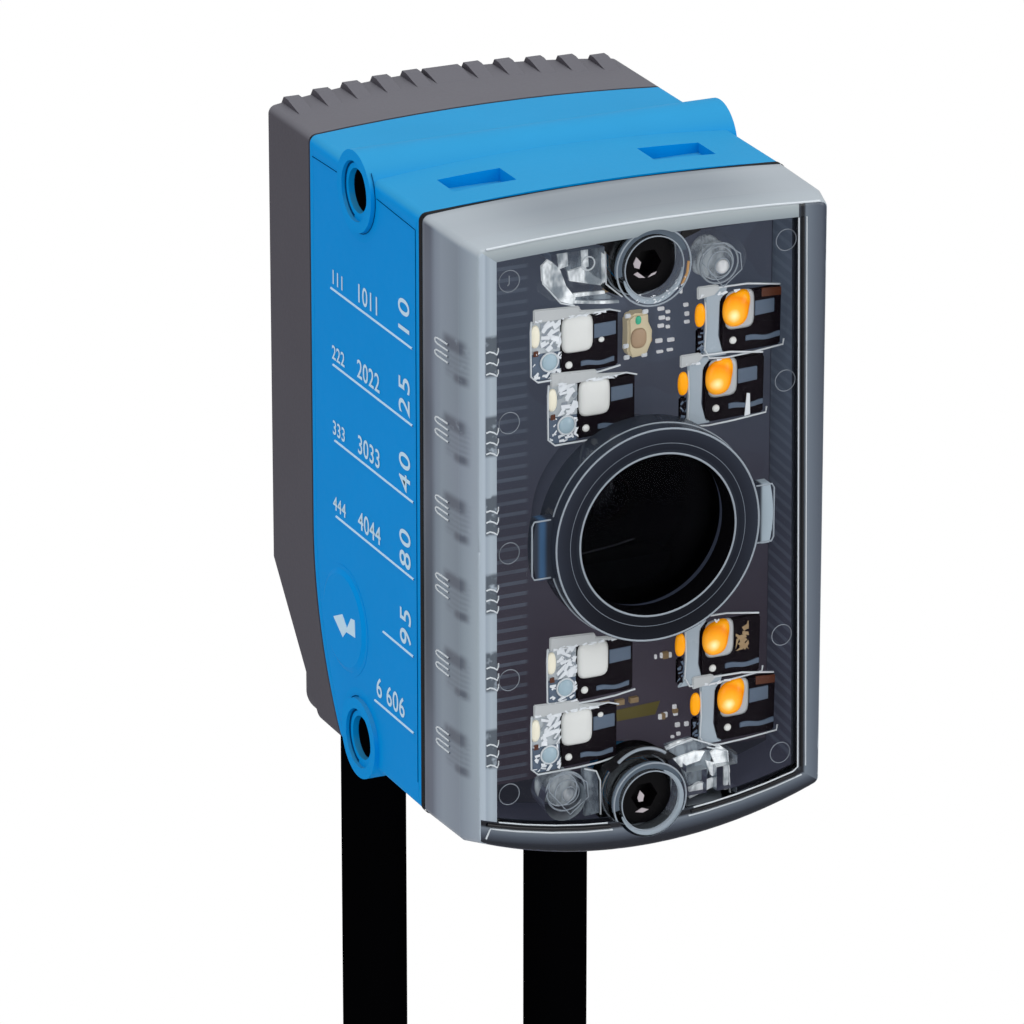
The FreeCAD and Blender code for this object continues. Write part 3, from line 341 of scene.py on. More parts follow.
# materials for thin beads of painted highlight (bright and soft lines) and of painted shade and reflection
# (dark lines)
bright_line = moulded("bright_line", (206, 213, 218), 0.2, 500, 0.6, 0.0, 0.1)
soft_line = moulded("soft_line", (150, 160, 170), 0.25, 500, 0.5, 0.0, 0.2)
dark_line = moulded("dark_line", (14, 13, 17), 0.3, 500, 0.3, 0.0, 0.2)


def spread(across, above):
    """The square of a distance."""
    return across * across + above * above


# edges of the see-through field of the hood's front, for numbers and Values alike
def inner_top(x):
    return 32.95 - x * x * 0.0014


def inner_bottom(x):
    return x * x * 0.0078 - 34.0


def inner_right(z):
    return 17.5 - z * 0.013


def amber_material():
    """Amber silicone over the lamps, with a painted highlight pale over each chip, deep orange at the rim,
    and a painted glow.
    """
    made = Finish("amber_lamp")
    x, _, z = made.places()
    nearest = None
    for middle_x, middle_z in RIGHT_BLOCKS:
        reach = spread(x - (middle_x - 0.35), z - (middle_z + 3.1))
        nearest = reach if nearest is None else nearest.least(reach)
    # painted highlight: pale near the middle of each chip, deep orange further out
    tone = made.ramp(
        (nearest.root() + made.noise(900, 2) * 0.3) / 2.6,
        (0.05, 255, 226, 176), (0.2, 252, 205, 128), (0.36, 240, 164, 44), (0.62, 234, 146, 16),
        (0.85, 220, 124, 4), (1.0, 232, 150, 10),
    )
    return made.done(made.surface(tone, 0.25, 0.2, glow=0.42))


amber = amber_material()


def board_material():
    """Black solder mask, drawn in a lighter slate tone with a painted glow, as painted light that the clear
    hood carries in; darker towards the bottom, with fine level tracks and a faint weave of glass.
    """
    made = Finish("board")
    x, _, z = made.places()
    tone = made.blend(z.within(2, 40, 22), (60, 56, 66), (72, 79, 93))
    drift = made.noise(200, 2, 0.6, (0.4, 1, 5))
    track = ((z * 4.7).sine() > 0.55) * drift * x.within(-16.5, -10.9, 0.3)
    tone = made.blend(track * 0.9, tone, (96, 106, 120))
    tone = made.blend((made.noise(160, 0) > 0.57) * 0.2, tone, (60, 58, 68))
    normal = made.bump(made.noise(3000, 2), 0.1, 0.00003)
    return made.done(made.surface(tone, 0.5, 0.15, 0.0, normal, 0.5))


def hood_side(made, x, y, z, left):
    """Tone of the side walls, from the front edge (0) to the back edge (1): painted light and shade in the
    clear wall.
    """
    side = made.ramp(
        y / HOOD_DEPTH,
        (0.0, 160, 172, 180), (0.1, 150, 162, 172), (0.22, 134, 146, 156), (0.3, 118, 130, 142),
        (0.62, 128, 141, 153), (0.74, 112, 125, 139), (0.84, 44, 57, 75), (0.95, 46, 55, 70),
        (1.0, 92, 100, 110),
    )
    cloud = made.noise(60, 2, 0.5, (1, 1, 0.5)).within(0.5, 2, 0.12)
    side = made.blend(cloud * 0.3, side, (134, 140, 158))
    # painted shade: dark patches where the wedges in front of the status lamps begin and end
    step = (z + y * 0.05) / WEDGE_STEP - 0.34
    place = (step - round(step)) * WEDGE_STEP
    ripple = (place * 10.5).sine() * 0.16 + 0.62
    upper = place.within(0.7, 2.3, 0.5) * y.within(2.2, 7.0, 0.9)
    lower = place.within(-2.5, -1.5, 0.4) * y.within(1.8, 4.6, 0.8)
    middle = place.within(-2.2, 2.0, 0.5) * y.within(1.6, 6.6, 0.8)
    dark = upper.most(lower).most(middle * (ripple * 0.55))
    dark = dark * z.within(-27, 24.4, 0.6) * made.noise(700, 2, 0.6, (1, 1, 2)).within(0.3, 2, 0.16)
    return made.blend(dark * left * 0.8, side, (62, 68, 84))


def hood_rim(made, x, z):
    """Shader of the front's rim, and where it lies: painted highlights and painted shade in bands along its
    edges.
    """
    # how far a point lies outside the see-through field on each side
    past_left = -18.4 - x
    past_right = x - inner_right(z)
    past_top = z - inner_top(x)
    past_bottom = inner_bottom(x) - z
    tone = made.ramp(
        past_left / 2.2,
        (0.0, 158, 170, 180), (0.3, 166, 178, 188), (0.55, 154, 166, 178), (0.66, 174, 186, 197),
        (1.0, 168, 180, 190),
    )
    rows = (z - 21.9) / WEDGE_STEP
    rows = (rows - round(rows)) * WEDGE_STEP
    # painted shade on the left rim where the wedges in front of the status lamps show through
    wedge_shade = rows.within(-2.1, 2.4, 0.25) * past_left.within(-1, 1.3, 0.12)
    wedge_shade = wedge_shade * z.within(-26.5, 25, 0.5) * made.noise(900, 2).within(0.36, 2, 0.12)
    tone = made.blend(wedge_shade * 0.85, tone, (58, 66, 76))
    top = made.ramp(
        past_top / 2,
        (0.0, 140, 150, 156), (0.3, 156, 166, 170), (0.6, 168, 177, 180), (1.0, 176, 184, 188),
    )
    tone = made.blend(past_top > (past_left * 0.8).most(0), tone, top)
    right = made.ramp(
        past_right / 3.2,
        (0.0, 58, 64, 74), (0.12, 18, 20, 26), (0.2, 30, 34, 42), (0.28, 110, 120, 131),
        (0.6, 94, 103, 115), (0.86, 80, 88, 100), (1.0, 56, 64, 78),
    )
    tone = made.blend(past_right > 0, tone, right)
    bottom = made.ramp(
        past_bottom / 3.8,
        (0.0, 50, 56, 66), (0.05, 14, 14, 20), (0.15, 24, 26, 34), (0.22, 112, 121, 131),
        (0.4, 76, 84, 96), (0.62, 26, 30, 40), (1.0, 4, 5, 10),
    )
    deeper = (past_bottom > past_right.most(-0.02)) * (x > -20.3)
    tone = made.blend(deeper, tone, bottom)
    outside = past_left.most(past_right).most(past_top).most(past_bottom) > 0
    return made.surface(tone, 0.25, 0.3), outside


def hood_material():
    """The hood's clear plastic, drawn as painted light and shade: light walls and a light rim round a
    see-through front.
    """
    made = Finish("clear_hood")
    x, y, z = made.places()
    found = made.add("ShaderNodeNewGeometry")
    facing_x, facing_y, facing_z = made.parts(found.outputs["True Normal"])
    left = x.within(-30, -15, 0.1)
    # painted light on the faces that look up: a tone by depth, lighter towards both sides
    over = made.ramp(
        y / HOOD_DEPTH,
        (0.0, 150, 158, 163), (0.12, 142, 151, 157), (0.26, 132, 140, 147), (0.6, 122, 131, 139),
        (0.9, 130, 138, 145), (1.0, 104, 112, 120),
    )
    over = made.blend(abs(x).within(14, 99, 6) * 0.55, over, (176, 184, 190))
    side = hood_side(made, x, y, z, left)
    wall = made.surface(made.blend(facing_z.within(0.4, 2, 0.3), side, over), 0.3, 0.3)
    # inner faces get painted shade with a painted glow where they are seen from the hollow, and look bright
    # through the thickness of the wall
    lines = (z * 4.4).sine() * made.noise(500, 2, 0.6, (1, 1, 4))
    faint = (abs(facing_x) > 0.7) * (left * 0.75 + 0.25)
    dusk = made.blend(z.within(4, 40, 20), (52, 54, 66), (66, 75, 88))
    dusk = made.blend(lines.within(0.2, 2, 0.12) * faint, dusk, (88, 98, 112))
    shade = made.surface(dusk, 0.4, 0.05, glow=0.62)
    hollow = x.within(-19.6, 19.6, 0.05) * z.within(-60, 33.1, 0.05)
    inner = hollow * made.math("SUBTRACT", 1, found.outputs["Backfacing"])
    walls = made.mixed(inner, wall, shade)

    # posts, collars and brackets are nearly clear, with a faint painted sheen that is fainter still on the
    # window's seat
    feature = x.within(-16.6, 16.6, 0.1) * z.within(-29.5, 31, 0.1)
    for middle_x, middle_z in SCREWS:
        feature = feature.most(spread(x - middle_x, z - middle_z) < COLLAR_REACH**2)
    seat = spread(x, z - AXIS) < SEAT_REACH**2
    pale = made.surface((186, 196, 204), 0.15, 0.5)
    walls = made.mixed(feature, walls, made.mixed(0.1 - seat * 0.09, made.clear(), pale))

    rim, outside = hood_rim(made, x, z)
    front = made.mixed(outside * 0.96, made.clear(), rim)
    for middle_x, middle_z in SCREWS:
        front = made.mixed(spread(x - middle_x, z - middle_z) < 17.5, front, made.clear())
    forward = abs(facing_y) > 0.8
    quiet = (forward * 0.9).most(feature * 0.85)
    gloss = (0.4 - quiet * 0.4) * made.add("ShaderNodeFresnel", {0: 1.25}).outputs[0]
    sharp = made.plain("ShaderNodeBsdfGlossy", PALE, Roughness=0.05)
    return made.done(made.mixed(gloss, made.mixed(forward, walls, front), sharp))


def tube_material():
    """Black inside; outside painted slate with a painted glow, as dull as the board round it."""
    made = Finish("lens_tube")
    x, _, z = made.places()
    outer = made.surface((58, 62, 74), 0.5, 0.1, glow=0.5)
    inner = made.surface((2, 2, 3), 0.8, 0.02)
    return made.done(made.mixed(spread(x, z - AXIS).root() > 9.35, inner, outer))


def ring_material():
    """Smoked plastic of the window ring: dark, with slow streaks round it, painted highlights near its rims
    and on the lugs, and painted shade low down and in the black bore.
    """
    made = Finish("window_ring")
    x, _, z = made.places()
    reach = spread(x, z - AXIS).root()
    tone = made.ramp(
        (reach - 9) / 3.4,
        (0.0, 48, 54, 64), (0.22, 26, 29, 38), (0.5, 34, 37, 47), (0.75, 42, 46, 57),
        (1.0, 54, 60, 71),
    )
    tone = made.blend(made.noise(60, 1) * 0.5, tone, (34, 40, 50))
    # painted shade low down, a painted highlight on each lug, and painted shade in the bore
    tone = made.blend(z.within(-30, -6.5, 5) * 0.75, tone, (10, 11, 17))
    tone = made.blend(x.within(12.9, 20, 0.2), tone, (160, 174, 184))
    tone = made.blend(x.within(-13.6, -12.8, 0.3), tone, (58, 88, 120))
    tone = made.blend(reach < 9.28, tone, (10, 10, 13))
    return made.done(made.surface(tone, 0.25, 0.08))


def window_material():
    """Thin coated glass: a faint reflection over a clear view."""
    made = Finish("window_glass")
    sharp = made.plain("ShaderNodeBsdfGlossy", (0.8, 0.85, 1, 1), Roughness=0.02)
    return made.done(made.mixed(made.noise(40, 1) * 0.004, made.clear((0.8, 0.82, 0.85, 1)), sharp))


FINISHES = {
    blue: "main_housing",
    foil: "side_panel function_button",
    grey: "rear_cover swivel_housing",
    rubber: "front_seal rear_seal cable_grommets",
    hood_material(): "front_hood",
    ring_material(): "window_ring",
    window_material(): "optical_window",
    board_material(): "illumination_board",
    tube_material(): "lens_tube",
    dull_black: "main_board sensor_board",
    anodised: "lens_barrel lens_holder",
    dark_glass: "front_lens image_sensor",
    black: "button_switch board_connector processor network_plug power_plug",
    oxide: "hood_screws cover_screws",
    nickel: "network_coupling power_coupling",
    steel: "swivel_clip",
    gold: "power_contacts",
    brass: "board_spacers",
    pad_grey: "heat_pad",
    milky: "status_leds",
    tan: "board_parts",
    beige: "aiming_led",
}
for material, names in FINISHES.items():
    for name in names.split():
        data = nodes[name].data
        data.materials.clear()
        data.materials.append(material)
for cable in (network_cable, power_cable):
    cable.data.materials.append(jacket)

# ---- shapes ----


def at(x, y, z):
    """A point in millimetres: x from the middle, y behind the hood's front, z up."""
    return Vector((MID + x * MM, FRONT + y * MM, z * MM))


class Batch:
    """Many small shapes of one finish, gathered into one piece."""

    def __init__(self):
        self.mesh = bmesh.new()

    def slab(self, corners, front, back):
        """A plate with a polygon outline, from one depth to another."""
        near = [self.mesh.verts.new(at(x, front, z)) for x, z in corners]
        far = [self.mesh.verts.new(at(x, back, z)) for x, z in corners]
        self.mesh.faces.new(near)
        self.mesh.faces.new(far[::-1])
        count = len(corners)
        for number in range(count):
            after = (number + 1) % count
            self.mesh.faces.new((near[after], near[number], far[number], far[after]))

    def pad(self, x, z, wide, high, front, back):
        """A square plate about a middle."""
        corners = [(x + a * wide / 2, z + b * high / 2) for a, b in ((-1, -1), (1, -1), (1, 1), (-1, 1))]
        self.slab(corners, front, back)

    def wall(self, near, far):
        """A closed strip between two loops of points."""
        near, far = ([self.mesh.verts.new(point) for point in points] for points in (near, far))
        for number in range(len(near)):
            after = (number + 1) % len(near)
            self.mesh.faces.new((near[number], near[after], far[after], far[number]))

    def tube(self, path, radius, closed=True, across=None):
        """A thin round bead along a path of points (x, y, z) in millimetres."""
        points = [at(*point) for point in path]
        count = len(points)
        rings = []
        for number, point in enumerate(points):
            before = points[number - 1] if closed or number else point
            after = points[(number + 1) % count] if closed or number < count - 1 else point
            along = (after - before).normalized()
            side = along.cross(across or Vector((0, 1, 0))).normalized()
            up = side.cross(along)
            ring = []
            for corner in range(6):
                angle = math.pi * corner / 3
                offset = side * math.cos(angle) + up * math.sin(angle)
                ring.append(self.mesh.verts.new(point + offset * radius * MM))
            rings.append(ring)
        for number in range(count if closed else count - 1):
            here, there = rings[number], rings[(number + 1) % count]
            for corner in range(6):
                after = (corner + 1) % 6
                self.mesh.faces.new((here[corner], here[after], there[after], there[corner]))

    def dome(self, x, y, z, half_wide, half_high, proud, power=2.0, pull=0.0):
        """A rounded cap on a squarish base. pull draws out its upper right corner."""
        sides, steps = 36, 9
        rings = []
        for step in range(1, steps + 1):
            share = step / steps
            ring = []
            height = proud * (1 - share**2.4) ** 0.55
            for number in range(sides):
                angle = 2 * math.pi * number / sides
                c, s = math.cos(angle), math.sin(angle)
                reach = (abs(c) ** power + abs(s) ** power) ** (-1 / power)
                reach *= share * (1 + pull * max(0.0, math.cos(angle - math.pi / 4)) ** 6)
                point = at(x + half_wide * reach * c, y - height, z + half_high * reach * s)
                ring.append(self.mesh.verts.new(point))
            rings.append(ring)
        top = self.mesh.verts.new(at(x, y - proud, z))
        for number in range(sides):
            after = (number + 1) % sides
            self.mesh.faces.new((top, rings[0][number], rings[0][after]))
            for inner, outer in zip(rings, rings[1:]):
                self.mesh.faces.new((inner[number], outer[number], outer[after], inner[after]))
        self.mesh.faces.new(rings[-1][::-1])

    def shards(self, low_x, high_x, low_z, high_z, y, count, size):
        """Small tilted facets scattered over a field."""
        for _ in range(count):
            x, z = random.uniform(low_x, high_x), random.uniform(low_z, high_z)
            angle = random.gauss(0.3, 0.5)
            long, wide = size * random.uniform(0.7, 1.7), size * random.uniform(0.3, 0.7)
            c, s = math.cos(angle), math.sin(angle)
            corners = []
            for a, b in ((-1, -1), (1, -0.8), (0.9, 1), (-1.1, 0.7)):
                u, v = a * long / 2, b * wide / 2
                px = min(max(x + u * c - v * s, low_x), high_x)
                pz = min(max(z + u * s + v * c, low_z), high_z)
                corners.append(self.mesh.verts.new(at(px, y + random.uniform(-0.12, 0.12), pz)))
            self.mesh.faces.new(corners)

    def piece(self, name, material, slot, smooth=False, bevel=0.0, body="camera"):
        bmesh.ops.recalc_face_normals(self.mesh, faces=self.mesh.faces)
        if bevel:
            sharp = [e for e in self.mesh.edges if e.calc_face_angle(0) > 0.6]
            settings = {"offset": bevel * MM, "segments": 2, "affect": "EDGES", "clamp_overlap": True}
            bmesh.ops.bevel(self.mesh, geom=sharp, **settings)
        data = bpy.data.meshes.new(name)
        self.mesh.to_mesh(data)
        self.mesh.free()
        for polygon in data.polygons:
            polygon.use_smooth = smooth
        data.materials.append(material)
        made = bpy.data.objects.new(name, data)
        scene.collection.objects.link(made)
        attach(made, body)
        return made


def outline(half, top, bottom, top_crown, bottom_crown, corner):
    """Points of the front outline: straight sides, and a crowned top and bottom."""

    def upper(x):
        return top + top_crown * (1 - (x / half) ** 2)

    def lower(x):
        return bottom - bottom_crown * (1 - (x / half) ** 2)

    turns = [math.pi / 2 * number / 5 for number in range(6)]
    arcs = [(corner * math.cos(angle), corner * math.sin(angle)) for angle in turns]
    inner = half - corner
    steps = [inner - 2 * inner * number / 14 for number in range(1, 14)]
    high, low = upper(inner) - corner, lower(inner) + corner
    points = [(inner + a, high + b) for a, b in arcs]
    points += [(x, upper(x)) for x in steps]
    points += [(-inner - b, high + a) for a, b in arcs]
    points += [(-inner - a, low - b) for a, b in arcs]
    points += [(-x, lower(x)) for x in steps]
    points += [(inner + b, low - a) for a, b in arcs]
    return points


def loop(points, y):
    return [(x, y, z) for x, z in points]


def circle(x, z, radius, y, count=64, start=0.0, turn=2 * math.pi):
    places = []
    for number in range(count):
        angle = start + turn * number / count
        places.append((x + radius * math.cos(angle), y, z + radius * math.sin(angle)))
    return places


def flat(points):
    return [(x, z) for x, _, z in points]


def shifted(corners, x, z):
    return [(x + u, z + v) for u, v in corners]


random.seed(11)

# ---- lines and reflections of the hood ----

# a dark sheet of painted shade behind the lighting board, with a painted glow, in two halves round the lens
# tube
shade_sheet = Batch()
for side in (-1, 1):
    steps = [side * 1.9 * number for number in range(11)]
    half = [(x, 32.9 - 0.7 * (x / 19) ** 2) for x in steps]
    half += [(x, -35.4 + 3.4 * (x / 19) ** 2) for x in reversed(steps)]
    turns = [math.pi * number / 24 for number in range(25)]
    half += [(side * 9.4 * math.sin(turn), AXIS - 9.4 * math.cos(turn)) for turn in turns]
    shade_sheet.slab(half, 10.0, 11.6)
shade_sheet.piece("inner_shade_sheet", moulded("shade_sheet", (52, 54, 64), 0.5, 900, 0.1, 0.0, 0.2, glow=0.4), "board")

# painted highlights (bright beads) and painted shade (dark beads) along the edges of the hood's front and
# its rear rim
edges, dark_edges = Batch(), Batch()
edges.tube(loop(outline(21.42, 34.25, -34.2, 0.6, 3.6, 0.9), 12.05)[26:46], 0.1, False)
right_line = [(inner_right(z), 0, z) for z in (32.5, 20, 8, -5, -18, -31.2)]


def bottom_line(steps, y=0.0, drop=0.0):
    """Points along the lower edge of the see-through field, or a little below it."""
    return [(x, y, inner_bottom(x) - drop) for x in steps]


lip_line = bottom_line((-4.6, -8, -12, -16, -18.2, -19.2), 0, 0.85) + [(-19.7, 0, -33.1)]
crown_line = [(x, 0.02, 33.95 + 0.75 * (1 - (x / 20.4) ** 2)) for x in (-19.6, -14, -7, 0, 7, 14, 19.6)]
for batch, radius, path in (
    (edges, 0.1, right_line + bottom_line((17.3, 14, 10.5, 7.5, 5.2))),
    (edges, 0.09, bottom_line((-5.2, -8, -11.5, -15, -18.2))),
    (edges, 0.08, [(x + 0.95, 0, z) for x, _, z in right_line]),
    (edges, 0.1, bottom_line((18.4, 15, 11, 7, 4.6), 0, 0.85)),
    (edges, 0.12, lip_line),
    (edges, 0.13, crown_line),
    (dark_edges, 0.17, [(x + 0.45, -0.01, z) for x, _, z in right_line]),
    (dark_edges, 0.2, bottom_line((17.6, 14, 10.5, 7.5, 4.9), -0.01, 0.42)),
    (dark_edges, 0.24, bottom_line((-4.9, -8, -12, -16, -18.6, -19.6), -0.01, 0.42)),
):
    batch.tube(path, radius, False)
edges.piece("hood_bright_lines", bright_line, "clear_hood", True)
dark_edges.piece("hood_dark_lines", dark_line, "clear_hood", True)

# the seal that shows between the hood and the housing
seal = Batch()
rim = outline(21.56, 34.36, -34.36, 0.62, 3.62, 0.9)
seal.wall([at(x, 12.2, z) for x, z in rim], [at(x, 13.02, z) for x, z in rim])
seal.piece("seal_lip", rubber, "seal_rubber")

# the wedges in front of the status lamps, as hooks of light on the side wall
strokes, curls = Batch(), Batch()
HOOK = (
    (-21.38, 5.9, 0), (-21.42, 7.2, 0), (-21.45, 8.4, -0.02), (-21.46, 8.9, -0.12),
    (-21.46, 9.1, -0.34), (-21.46, 8.9, -0.56), (-21.45, 8.4, -0.67), (-21.38, 5.8, -0.68),
)
CURL = (
    (-19.65, 0, 0), (-19.2, -0.01, 0.12), (-18.75, -0.01, -0.05),
    (-18.4, -0.01, -0.32), (-18.1, 0.3, -0.1), (-18.0, 0.5, 0.2),
)
for number in range(6):
    height = 20.9 - WEDGE_STEP * number
    for pair in range(2):
        hook = [(x, y, height + 0.95 - 1.36 * pair + rise) for x, y, rise in HOOK]
        strokes.tube(hook, 0.115, False, SIDEWAYS)
    for row in range(3):
        curls.tube([(x, y, height + 1.6 - 1.2 * row + rise) for x, y, rise in CURL], 0.1, False)
strokes.piece("status_strokes", bright_line, "clear_hood", True)
curls.piece("status_curls", bright_line, "clear_hood", True)

# marks that the mould's ejector pins leave inside the front wall
pins = Batch()
for x, z in (
    (16.1, 29.8), (16.2, 13.8), (16.2, -15.7), (16.2, -29.6),
    (-16.5, 29.8), (-16.5, 13.9), (-16.5, -0.9), (-16.5, -15.5), (-16.5, -28.8),
):
    pins.tube(circle(x, z, 1.2, 1.0, 36), 0.06)
pins.tube([(-16.5, 1.0, 30.4), (-16.5, 1.0, 29.5), (-16.7, 1.0, 29.3)], 0.08, False)
pin_mark = moulded("pin_mark", (132, 140, 150), 0.3, 500, 0.4, 0, 0.3)
pins.piece("ejector_marks", pin_mark, "clear_hood", True)

# clear collars round the two screws and what they reflect: painted highlights on their rims, painted shadow
# round each screw head and painted glints in the hex sockets
collars, sockets, shades, crescents, bands = (Batch() for _ in range(5))
for (x, z), lift in zip(SCREWS, (0.15, 0.1)):
    collars.tube(circle(x, z, 4.35, 0.15), 0.11)
    collars.tube(circle(x, z, 3.45, 0.02), 0.08)
    collars.tube(circle(x, z, 4.2, 3.6), 0.09)
    # painted shadow: dark rings round each screw head
    for inside, outside, front, back in ((2.8, 3.3, 2.75, 2.9), (3.3, 5.0, 5.2, 5.4)):
        inner = circle(x - 0.1, z + lift, inside, 0, 48)
        outer = circle(x - 0.1, z + lift, outside, 0, 48)
        for number in range(48):
            after = (number + 1) % 48
            shades.slab(flat((inner[number], outer[number], outer[after], inner[after])), front, back)
    outer = circle(x, z, 4.3, 0, 24, 0.3, 3.2)
    bands.slab(flat(circle(x, z, 3.5, 0, 24, 0.3, 3.2) + outer[::-1]), 0.7, 0.9)
screw_face = (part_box("hood_screws")[0][1] - FRONT) / MM
# painted glints in the hex sockets of the screw heads
for (x, z), corners in (
    (SCREWS[0], [(-1.75, 0.15), (-1.4, 0.85), (-0.85, 0.2), (-1.05, -0.5), (-1.6, -0.3)]),
    (SCREWS[0], [(-1.7, -1.05), (-1.25, -0.85), (-0.35, -1.6), (-1.1, -1.5)]),
    (SCREWS[0], [(0.0, -1.6), (0.4, -1.25), (1.0, -1.1), (0.8, -1.35)]),
    (SCREWS[1], [(-0.85, -0.1), (-0.55, 0.7), (-0.05, 0.1), (-0.2, -0.6), (-0.7, -0.6)]),
    (SCREWS[1], [(-1.1, -1.75), (-0.3, -1.4), (0.5, -1.7), (-0.2, -1.95)]),
):
    sockets.slab(shifted(corners, x, z), screw_face - 0.12, screw_face - 0.02)
shades.piece("screw_shades", moulded("screw_shade", (10, 9, 12), 0.4, 500, 0.05, 0, 0.3), "black_steel")
collars.piece("collar_rims", soft_line, "clear_hood", True)
socket_glint = moulded("facet", (176, 168, 172), 0.3, 500, 0.4, 0, 0.3, glow=0.3)
sockets.piece("socket_glints", socket_glint, "black_steel")

# the light that the lower half of each collar holds
for (x, z), start, end, widest in ((SCREWS[0], 200, 350, 4.2), (SCREWS[1], 205, 420, 4.3)):
    inner, outer = [], []
    for number in range(25):
        angle = math.radians(start + (end - start) * number / 24)
        reach = 3.5 + (widest - 3.5) * (0.2 + 0.8 * math.sin(math.pi * number / 24))
        inner.append((x + 3.5 * math.cos(angle), z + 3.5 * math.sin(angle)))
        outer.append((x + reach * math.cos(angle), z + reach * math.sin(angle)))
    crescents.slab(inner + outer[::-1], 0.3, 0.5)
crescents.piece("collar_light", band_grey, "clear_hood")
bands.piece("collar_shade", facet("collar_shade", (84, 96, 108), 0.25, 0.25, 0.3), "clear_hood")

# ---- window ring ----

# painted highlights on the rims, lugs and step of the ring, and painted glints inside the lens tube
rims, glow, inside = Batch(), Batch(), Batch()
rims.tube(circle(0, AXIS, 12.05, -1.35, 96), 0.14)
rims.tube(circle(0, AXIS, 9.25, -1.35, 96), 0.14)
rims.tube(circle(0, AXIS, 12.25, 0.05, 96), 0.1)
LUG = ((12.2, 3.3), (14.15, 3.3), (14.4, 2.8), (14.4, -2.8), (14.15, -3.3), (12.2, -3.3))
for side in (-1, 1):
    rims.tube([(side * u, -0.28, AXIS + v) for u, v in LUG], 0.11, False)
rims.piece("ring_rims", soft_line, "clear_hood", True)
glow.tube(circle(0, AXIS, 10.4, -1.36, 96), 0.06)
ring_step = moulded("ring_step", (104, 114, 126), 0.2, 500, 0.5, 0, 0.2)
glow.piece("ring_step", ring_step, "clear_hood", True)
inside.tube(circle(-5.2, AXIS + 4.6, 2.6, 9.8, 48), 0.1)
chord = ((-8.4, -3.1), (-6.9, -4.3), (-4.6, -5.0), (-0.5, -4.6), (1.9, -4.2))
inside.tube([(u, 8.6, AXIS + v) for u, v in chord], 0.1, False)
tube_glint = moulded("tube_glint", (46, 44, 50), 0.4, 500, 0.4, 0, 0.3)
inside.piece("tube_glints", tube_glint, "black_plastic", True)

# ---- lamps and their clear blocks ----

# the clear lamp blocks are drawn as plates and facets: pale edges, rims and sparks are painted highlights,
# and block shades, slates and soft shades are painted shade
plates, pale_edges, blacks, stripes, beads = (Batch() for _ in range(5))
sparks, slates, block_rims, bases, fields = (Batch() for _ in range(5))
bubbles, soft_shades, golds, pads, browns = (Batch() for _ in range(5))
white_domes, white_ovals, amber_domes, amber_ovals = (Batch() for _ in range(4))


def wavy_bar(low, high, base, thick):
    """Outline of a level bar with gently waving edges."""
    upper, lower = [], []
    for number in range(13):
        u = low + (high - low) * number / 12
        wave = 0.14 * math.sin(2.2 * math.pi * number / 12 + 0.6)
        upper.append((u, base + thick / 2 + wave))
        lower.append((u, base - thick / 2 + wave * 0.7))
    return lower + upper[::-1]


def fill_block(x, z, slabs, shards, rims):
    """Puts plates, facets and rims into one block. All depths count from the block's face."""
    for batch, front, back, corners in slabs:
        batch.slab(shifted(corners, x, z), FACE + front, FACE + back)
    for batch, low_x, high_x, low_z, high_z, depth, count, size in shards:
        batch.shards(x + low_x, x + high_x, z + low_z, z + high_z, FACE + depth, count, size)
    for radius, depth, path in rims:
        block_rims.tube([(x + u, FACE + depth, z + v) for u, v in path], radius, False)
    beads.dome(x, FACE + 0.35, z, 0.42, 0.42, 0.3)


LEFT_SLABS = (
    (plates, -0.05, 0.3, [
        (-4.3, 6.9), (0.6, 6.65), (1.1, 6.6), (1.15, 6.1),
        (4.8, 5.75), (2.6, 5.5), (-1.0, 5.4), (-4.3, 5.35),
    ]),
    (blacks, 0.35, 0.8, [(-1.0, -1.15), (5.85, -0.9), (5.85, 5.3), (2.6, 5.5), (-1.0, 5.3)]),
    (bases, 0.3, 0.7, [(-4.45, -0.7), (-3.8, -1.3), (-1.0, -1.2), (-1.0, 1.9), (-4.45, 1.9)]),
    (fields, 0.3, 0.7, [(-4.45, 1.7), (-1.0, 1.7), (-1.0, 5.3), (-4.45, 5.4)]),
    (stripes, 0.25, 0.4, [(2.95, 2.6), (5.5, 2.75), (5.5, 4.25), (2.95, 4.2)]),
    (stripes, 0.2, 0.4, wavy_bar(1.4, 5.3, -0.1, 0.5)),
    (browns, 0.05, 0.2, [(-4.25, 1.6), (-3.7, 1.6), (-3.75, 2.2), (-4.2, 2.15)]),
)
LEFT_SHARDS = (
    (sparks, -3.4, -1.0, 1.9, 5.5, 0.1, 16, 1.0),
    (soft_shades, -3.4, -1.1, 2.0, 5.2, 0.2, 9, 0.8),
    (sparks, -3.4, -1.0, -1.1, -0.1, 0.1, 9, 0.6),
    (sparks, -1.5, -1.0, -0.6, 1.8, 0.1, 5, 0.6),
    (sparks, -4.35, -3.5, -1.0, 2.2, 0.1, 6, 0.5),
    (sparks, -4.2, 4.2, 5.35, 5.75, -0.1, 12, 0.7),
)
LEFT_RIMS = (
    (0.12, 0.1, [
        (-4.5, 5.6), (-4.6, 4.5), (-4.55, -0.6), (-3.75, -1.35), (1.0, -1.3), (3.6, -1.15), (5.95, -0.8),
    ]),
    (0.1, 0.1, [(2.7, 5.5), (4.6, 5.72), (5.9, 5.3)]),
)
